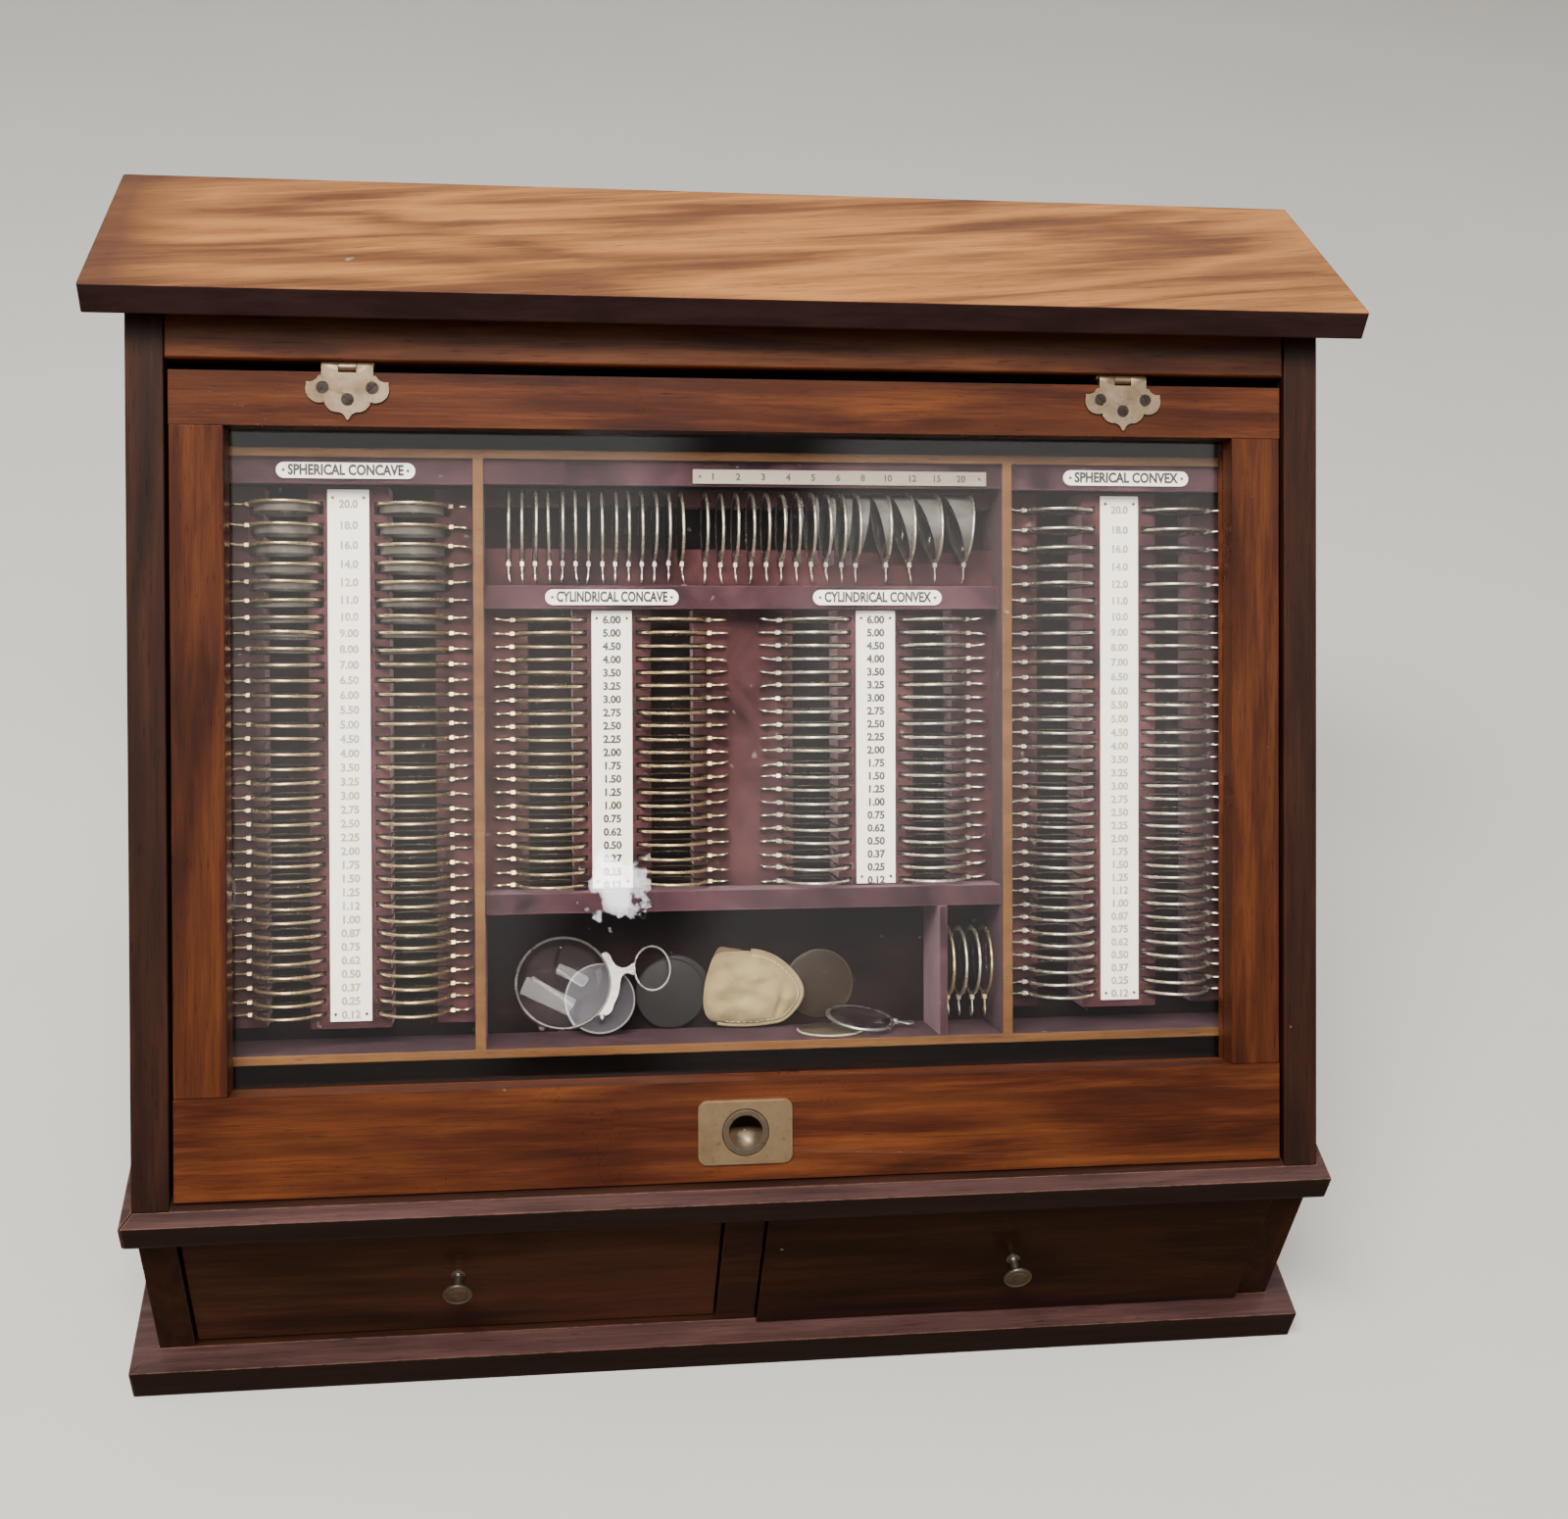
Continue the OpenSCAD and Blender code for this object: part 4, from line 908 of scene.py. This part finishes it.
bar, plate_top, low_plate_top = (z + STRIP_T for z in (BAR_TOP, TRAY_TOP - 3, TRAY_TOP - 8))
sphere_marks, cylinder_marks, plate_marks = Shape(), Shape(), Shape()
for side in (-1, 1):
    outer, inner = side * OUTER_X, side * INNER_X
    for k, p in enumerate(SPHERE_POWERS):
        lettering(sphere_marks, power_text(p), outer, sphere_up(k) - 0.3, bar, 5.3, bold=0.22)
    for k, p in enumerate(CYLINDER_POWERS):
        lettering(cylinder_marks, power_text(p), inner, cylinder_up(k) - 0.3, bar, 5.2, bold=0.24)
    kind = "CONCAVE" if side < 0 else "CONVEX"
    for word, x, up, z in (("SPHERICAL ", outer, SPHERE_PLATE_UP, plate_top),
                           ("CYLINDRICAL ", inner, CYLINDER_PLATE_UP, low_plate_top)):
        lettering(plate_marks, word + kind, x, up, z, 7.0, 55.0, 0.28)
for k, p in enumerate(PRISM_POWERS):
    lettering(cylinder_marks, str(p), -17 + 12.6 * k, SCALE_UP, plate_top, 4.6, bold=0.16)
sphere_marks.build("sphere_numerals", [m_ink], "case", smooth=0)
cylinder_marks.build("cylinder_numerals", [m_ink_dark], "case", smooth=0)
plate_marks.build("plate_lettering", [m_ink_plate], "case", smooth=0)

# ---------------------------------------------------------------- what lies in the lower compartment
LEANING = Matrix.Rotation(-math.radians(27), 4, "X")
AT_MAGNIFIER = Matrix.Translation((-91.7 * MM, 93.5 * MM, (FLOOR_TOP + 12.9) * MM))
AT_MAGNIFIER = IN_TRAY @ AT_MAGNIFIER @ LEANING


def smooth_line(points, steps=8, closed=True):
    """A Catmull-Rom curve through the points."""
    n, out = len(points), []
    for i in range(n if closed else n - 1):
        around = [points[j % n] if closed else points[min(max(j, 0), n - 1)] for j in range(i - 1, i + 3)]
        a, b, c, d = (np.array(q, float) for q in around)
        for k in range(steps):
            u = k / steps
            bend = (2 * a - 5 * b + 4 * c - d) * u**2 + (3 * b - a - 3 * c + d) * u**3
            out.append(0.5 * (2 * b + (c - a) * u + bend))
    return [tuple(q) for q in out]


def plate(outline, low, high, chamfer=0.3):
    """A flat plate in X and Y, with rounded edges."""
    bm = bmesh.new()
    face = bm.faces.new([bm.verts.new((x, y, low)) for x, y in outline])
    grown = bmesh.ops.extrude_face_region(bm, geom=[face])
    for v in grown["geom"]:
        if isinstance(v, bmesh.types.BMVert):
            v.co.z = high
    bmesh.ops.recalc_face_normals(bm, faces=bm.faces)
    ends = [e for e in bm.edges if abs(e.verts[0].co.z - e.verts[1].co.z) < 1e-6]
    bmesh.ops.bevel(bm, geom=ends, offset=chamfer, segments=2, affect="EDGES")
    return taken(bm)


def hoop(middle, wide, tall, across, thick, count=72):
    """An oval ring of rounded section, in X and Y."""
    verts, sides = [], 10
    for i in range(count):
        a = 2 * math.pi * i / count
        out = np.array((math.cos(a) / wide, math.sin(a) / tall))
        out /= np.linalg.norm(out)
        for j in range(sides):
            b = 2 * math.pi * j / sides
            x = middle[0] + wide * math.cos(a) + out[0] * across * math.cos(b)
            y = middle[1] + tall * math.sin(a) + out[1] * across * math.cos(b)
            verts.append((x, y, thick * math.sin(b)))
    return verts, walls(count, sides, closed=True)


bracket = [(23.4 * math.cos(t), 23.4 * math.sin(t)) for t in np.radians(np.arange(-44, 37, 4))]
bracket += smooth_line(
    [(19.4, 13.9), (21.3, 15.6), (23.6, 14.6), (24.9, 11.6), (26.8, 8.6), (29.8, 7.2), (33.0, 7.6),
     (36.0, 9.6), (36.4, 6.4), (36.2, 3.4), (33.0, 4.4), (30.2, 3.4), (28.9, 0.4), (28.4, -3.6),
     (27.2, -8.0), (25.4, -11.6), (24.6, -14.4), (22.8, -16.6), (20.0, -17.6), (17.4, -17.0)],
    5, closed=False)
frame_shape = Shape()
frame_shape.add(*revolve(
    [(23.1, -0.8), (23.4, -1.15), (24.1, -1.2), (24.45, -0.8), (24.5, 0), (24.45, 0.8),
     (24.1, 1.2), (23.8, 1.0), (23.4, 1.15), (23.1, 0.8)], 96, "z"))
frame_shape.add(*hoop((45.4, 6.6), 9.1, 11.6, 0.6, 0.85))
frame_shape.add(*plate(bracket, -0.8, 0.8))
screw = disc([(0, 1.9), (0.9, 1.8), (1.6, 1.2), (1.8, 0.3), (1.7, -1.3), (0, -1.4)], 20, "z")
frame_shape.add(*screw[:2], Matrix.Translation((19.2, -18.4, 0)))
frame_shape.add(*brick((18.9, -19.8, 1.6), (19.5, -17.0, 2.0), 0.05))
o = frame_shape.build("magnifier_mount", [m_bright], "magnifier", AT_MAGNIFIER)
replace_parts(o, "magnifier_frame")
CURVE = 0.55
bulge = [(23.0 * math.sin(a) / math.sin(CURVE),
          1.1 + 3.1 * (math.cos(a) - math.cos(CURVE)) / (1 - math.cos(CURVE)))
         for a in np.linspace(0, CURVE, 12)]
lens_shape = Shape()
lens_shape.add(*disc(bulge + [(x, -y) for x, y in reversed(bulge)], 80, "z")[:2])
o = lens_shape.build("magnifier_glass", [m_glass], "magnifier", AT_MAGNIFIER, 60)
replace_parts(o, "magnifier_lens")

# the spring behind the catch button
COIL_R, WIRE_R, COIL_LOW, COIL_HIGH, COIL_TURNS = 6.2, 0.45, -12.4, -7.4, 3.5
spring, steps, sides = Shape(), 84, 8
coil = []
for i in range(steps + 1):
    a = 2 * math.pi * COIL_TURNS * i / steps
    middle = COIL_LOW + (COIL_HIGH - COIL_LOW) * i / steps
    for j in range(sides):
        b = 2 * math.pi * j / sides
        r = COIL_R + WIRE_R * math.cos(b)
        coil.append((r * math.cos(a), r * math.sin(a), middle + WIRE_R * math.sin(b)))
ends = [tuple(range(sides)), tuple(steps * sides + j for j in reversed(range(sides)))]
spring.add(coil, walls(steps + 1, sides) + ends)
AT_CATCH = ON_SLOPE @ Matrix.Translation((CATCH_X * MM, CATCH_UP * MM, 0))
o = spring.build("catch_coil", [m_screw], "door", AT_CATCH)
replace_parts(o, "catch_spring")
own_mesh(o)

DISC = [(0, 1.4), (17.2, 1.4), (17.8, 1.1), (18.0, 0.7), (17.8, 0.3), (17.2, 0), (0, 0)]
DISC_SLOTS = [0, 1, 1, 1, 1, 0]
loose = Shape()


def loose_disc(matrix, first):
    verts, faces, marks = disc(DISC, 64, "z", DISC_SLOTS)
    loose.add(verts, faces, matrix, [2 * first + m for m in marks])


loose_disc(Matrix.Translation((-73, TRAY_LOW + 17.2, FLOOR_TOP + 8.6)) @ LEANING, 0)
loose_disc(Matrix.Translation((-33.5, TRAY_LOW + 20, FLOOR_TOP)), 1)
on_top = Matrix.Translation((-36.5, TRAY_LOW + 18.4, FLOOR_TOP + 1.5))
loose_disc(on_top @ Matrix.Rotation(-0.05, 4, "X"), 1)
loose_disc(Matrix.Translation((41.5, TRAY_LOW + 21.5, FLOOR_TOP)), 2)
upright = Matrix.Rotation(-math.pi / 2, 4, "X") @ Matrix.Scale(17 / 18, 4)
loose_disc(Matrix.Translation((44, TRAY_LOW, FLOOR_TOP + 19.5)) @ upright, 3)
faces_and_edges = [m_grey, m_rim_edge, m_smoke, m_smoke, m_brown, m_brown_edge, m_olive,
                   m_olive_edge]
o = loose.build("loose_glasses", faces_and_edges, "case")
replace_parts(o, "loose_discs")


# ---------------------------------------------------------------- the chamois pouch
def chamois_material():
    t = Nodes("chamois")
    nap = t.noise(t.coords(), 650, 4, 0.65)
    stain = t.noise(t.coords(), 55, 5, 0.62)
    tone = t.mix(t.span(stain, 0.36, 0.68), (0.31, 0.238, 0.122), (0.20, 0.145, 0.068))
    tone = t.mix(t.times(nap, 0.35), tone, (0.25, 0.175, 0.085))
    tone = t.mix(t.times(t.edges(1.2 * MM), 0.4), tone, (0.50, 0.40, 0.23))
    return t.finish(
        t.shader(**{
            "Base Color": tone,
            "Roughness": 0.9,
            "Specular IOR Level": 0.2,
            "Sheen Weight": 0.3,
            "Sheen Roughness": 0.5,
            "Sheen Tint": (0.9, 0.80, 0.60),
            "Normal": t.bump(t.math("ADD", nap, t.times(stain, 1.2)), 0.5, 0.35 * MM),
        })
    )


m_chamois = chamois_material()
# the flap's inside, painted dark as shade in the pouch's mouth
m_flap_inside_shade = plain("chamois_inside_painted_shade", (0.10, 0.065, 0.038), (0.16, 0.105, 0.062), 120, 0.85, 0.8, 0.3,
                 0.2)
m_thread = plain("seam_thread", (0.62, 0.54, 0.38), (0.45, 0.37, 0.24), 300, 0.8, 0.8, 0.2, 0.1)
POUCH = [(-13.2, 105.0), (-4.0, 106.6), (5.0, 106.4), (12.0, 105.0), (19.0, 101.6), (26.0, 95.4),
         (30.6, 88.4), (31.0, 82.2), (27.0, 75.8), (21.2, 71.0), (13.0, 69.4), (2.0, 68.8),
         (-9.0, 69.4), (-16.4, 71.4), (-19.4, 77.0), (-19.6, 85.0), (-17.6, 95.4)]
POUCH_MID = np.array((6.0, 87.5))
POUCH_FLOOR = FLOOR_TOP + 2.0
SEAM_Z = POUCH_FLOOR + 4.2
STITCH_T = 0.915


def pouch_height(x, y, t):
    """The height of the leather over its middle plane; t is 0 in the middle, 1 at the seam."""

    def fold(off, width, along, length):
        return math.exp(-((off / width) ** 2)) * math.exp(-((along / length) ** 2))

    crown = 6.2 * max(0.0, 1 - t**3.4) ** 0.55
    waves = noise.noise(Vector((x / 13, y / 9, 3.1))) * 2.2
    waves += noise.noise(Vector((x / 5.5, y / 5, 8.2))) * 0.9
    crease = 3.4 * fold(x - 19.5 - 0.25 * (y - 80), 1.7, y - 77, 8.5)
    second = 1.3 * fold(x + 4 + 0.5 * (y - 90), 2.4, y - 96, 7)
    mouth = 1.5 * math.exp(-(((x + 19) / 5.0) ** 2)) * (1 - t**8)
    return crown + (waves - crease - second) * (1 - t**4) + mouth


def pouch():
    """Two layers of soft leather, sewn round the edge, crumpled on top and flat where they rest."""
    line = smooth_line(POUCH, 10)
    n, rings = len(line), [i / 22 for i in range(1, 23)]
    shape = Shape()
    for top in (1, -1):
        verts = [(*POUCH_MID, 0)]
        for t in rings:
            verts += [(*(POUCH_MID + (np.array(q) - POUCH_MID) * t), t) for q in line]
        out = []
        for x, y, t in verts:
            rise = pouch_height(x, y, t) if top > 0 else -4.0 * max(0.0, 1 - t**8) ** 0.5
            out.append((x, y, SEAM_Z + rise))
        faces = [(0, 1 + i, 1 + (i + 1) % n) for i in range(n)] + walls(len(rings), n, start=1)
        if top < 0:
            faces = [tuple(reversed(f)) for f in faces]
        shape.add(out, faces)
    # the turned edge along the sewn side, and its stitches
    sewn = [np.array(q) for q in line[20:125]]
    welt, sides = [], 8
    for i, q in enumerate(sewn):
        along = sewn[min(i + 1, len(sewn) - 1)] - sewn[max(i - 1, 0)]
        side = np.array((along[1], -along[0])) / np.linalg.norm(along)
        for j in range(sides):
            b = 2 * math.pi * j / sides
            at = q - side * (0.3 + 1.05 * math.cos(b))
            welt.append((*at, POUCH_FLOOR + 4.6 + 1.1 * math.sin(b)))
        if i % 3 == 1 and i < len(sewn) - 2:
            inner = q + (POUCH_MID - q) * (1 - STITCH_T)
            at = (*inner, SEAM_Z + pouch_height(*inner, STITCH_T) + 0.12)
            turn = Matrix.Rotation(math.atan2(along[1], along[0]), 4, "Z")
            verts, faces = brick((-0.75, -0.16, -0.1), (0.75, 0.16, 0.14), 0.06)
            shape.add(verts, faces, Matrix.Translation(at) @ turn, 1)
    shape.add(welt, walls(len(sewn), sides))
    # the inside of the flap, showing at the mouth's corner, painted dark as shade in the pouch's mouth
    flap = smooth_line([(-15.5, 101.0), (-11.6, 108.6), (-6.0, 108.2), (0.5, 106.9), (-3.0, 104.0),
                        (-12.5, 103.2)], 5)
    verts, faces = plate(flap, POUCH_FLOOR + 3.4, POUCH_FLOOR + 4.6, 0.3)
    shape.add(verts, faces, slot=2)
    return shape.build("chamois_pouch", [m_chamois, m_thread, m_flap_inside_shade], "case", smooth=75)


o = pouch()
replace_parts(o, "cloth_pouch")

# ---------------------------------------------------------------- floor, lights, camera
bm = bmesh.new()
bmesh.ops.create_grid(bm, x_segments=1, y_segments=1, size=6)
mesh = bpy.data.meshes.new("floor")
bm.to_mesh(mesh)
bm.free()
mesh.materials.append(m_floor)
floor = bpy.data.objects.new("floor", mesh)
bpy.context.scene.collection.objects.link(floor)


def area_light(name, at, towards, size, power, colour=(1, 1, 1)):
    data = bpy.data.lights.new(name, "AREA")
    data.shape = "RECTANGLE"
    data.size, data.size_y = size
    data.energy = power
    data.color = colour
    o = bpy.data.objects.new(name, data)
    o.location = at
    o.rotation_euler = (Vector(towards) - Vector(at)).to_track_quat("-Z", "Y").to_euler()
    bpy.context.scene.collection.objects.link(o)
    return o


def ragged(light):
    """Gives a square light a ragged shape, by noise over its surface."""
    t = Nodes("", light, "Light")
    spot = t.geometry("Parametric")
    cloud = t.math("SUBTRACT", t.noise(spot, 4, 4, 0.5), t.vector("DISTANCE", spot, (0.5, 0.5, 0)))
    lamp = t.new("ShaderNodeEmission")
    t.link(t.span(cloud, 0.14, 0.34, 0.0, 4.0), lamp.inputs["Strength"])
    t.finish(lamp)


MIDDLE = (0, 0, 0.3)
overhead = area_light("overhead", (-0.45, -0.75, 2.15), MIDDLE, (1.5, 0.5), 58, (1.0, 0.955, 0.89))
overhead.visible_glossy = False
tube = area_light("tube", (-0.30, -0.62, 2.1), MIDDLE, (1.3, 0.09), 16, (1.0, 0.965, 0.91))
askew = Matrix.Rotation(math.radians(-14), 3, "Z")
tube.rotation_euler = (tube.rotation_euler.to_matrix() @ askew).to_euler()
# a small bright window, whose ragged reflection shows on the glass
window = area_light("window", (0.05, FRONT_Y - 1.9, 1.39), (-0.06, FRONT_Y + 0.1, 0.24),
                    (0.15, 0.17), 1.0, (0.97, 0.96, 1.0))
ragged(window.data)
# the glints on the rims
glint = area_light("rim_glint", (-0.55, FRONT_Y - 1.85, 1.45), (0, FRONT_Y + 0.1, 0.24),
                   (0.42, 0.26), 120, (1.0, 0.97, 0.92))
shiny = bpy.data.collections.new("shiny")
for o in bpy.data.objects:
    if o.name.endswith(("_rims", "_rim", "_rims_fine")):
        shiny.objects.link(o)
glint.light_linking.receiver_collection = shiny
for name, at in (("left_fill", (-2.2, -0.2, 1.5)), ("right_fill", (2.3, 0.6, 1.5))):
    area_light(name, at, MIDDLE, (1.4, 1.2), 13, (0.97, 0.98, 1.0)).visible_glossy = False


def room():
    """Pale to the camera. In reflections: a light wall behind, a ceiling, and a dim room in front."""
    world = bpy.data.worlds.new("studio")
    bpy.context.scene.world = world
    t = Nodes("", world, "World")
    x, y, z = t.split(t.new("ShaderNodeTexCoord").outputs["Generated"])

    def step(value, low, high, to_low=0.0, to_high=1.0):
        return t.span(value, low, high, to_low, to_high, "SMOOTHSTEP")

    behind = t.times(step(y, -0.1, 0.35), step(z, -0.05, 0.25, 0.1, 0.50))
    ceiling = step(z, 0.72, 0.95, 0.0, 0.55)
    # what the glass shows: a light room with a dark doorway that leans to the left
    middle = t.math("ADD", t.times(z, 0.35), -0.115)
    off = t.math("ABSOLUTE", t.math("SUBTRACT", x, middle), 0.0)
    veil = t.times(step(off, 0.02, 0.07, 0.12, 1.0), step(z, 0.38, 0.56, 0.15, 0.95))
    before = t.times(veil, step(y, -0.25, -0.5))
    total = t.math("ADD", t.math("ADD", behind, ceiling), t.math("ADD", before, 0.035))
    pale, lit = t.new("ShaderNodeBackground"), t.new("ShaderNodeBackground")
    pale.inputs[0].default_value = (0.72, 0.73, 0.70, 1)
    lit.inputs[0].default_value = (1.0, 0.95, 0.89, 1)
    t.link(total, lit.inputs[1])
    t.finish(t.choose(seen_straight(t), lit, pale))


room()

cam_data = bpy.data.cameras.new("camera")
cam_data.sensor_width = 36
cam_data.lens = 41.76
cam_data.shift_x = 0.0128
cam_data.shift_y = -0.047
camera = bpy.data.objects.new("camera", cam_data)
right = Vector((0.99144, -0.10653, 0.07548))
down = Vector((-0.00503, -0.60885, -0.79327))
ahead = Vector((0.13047, 0.78610, -0.60418))
turn = Matrix((right, -down, -ahead)).transposed().to_4x4()
camera.matrix_world = Matrix.Translation((-0.107, -0.5471 + FRONT_Y, 0.8575)) @ turn
bpy.context.scene.collection.objects.link(camera)
bpy.context.scene.camera = camera
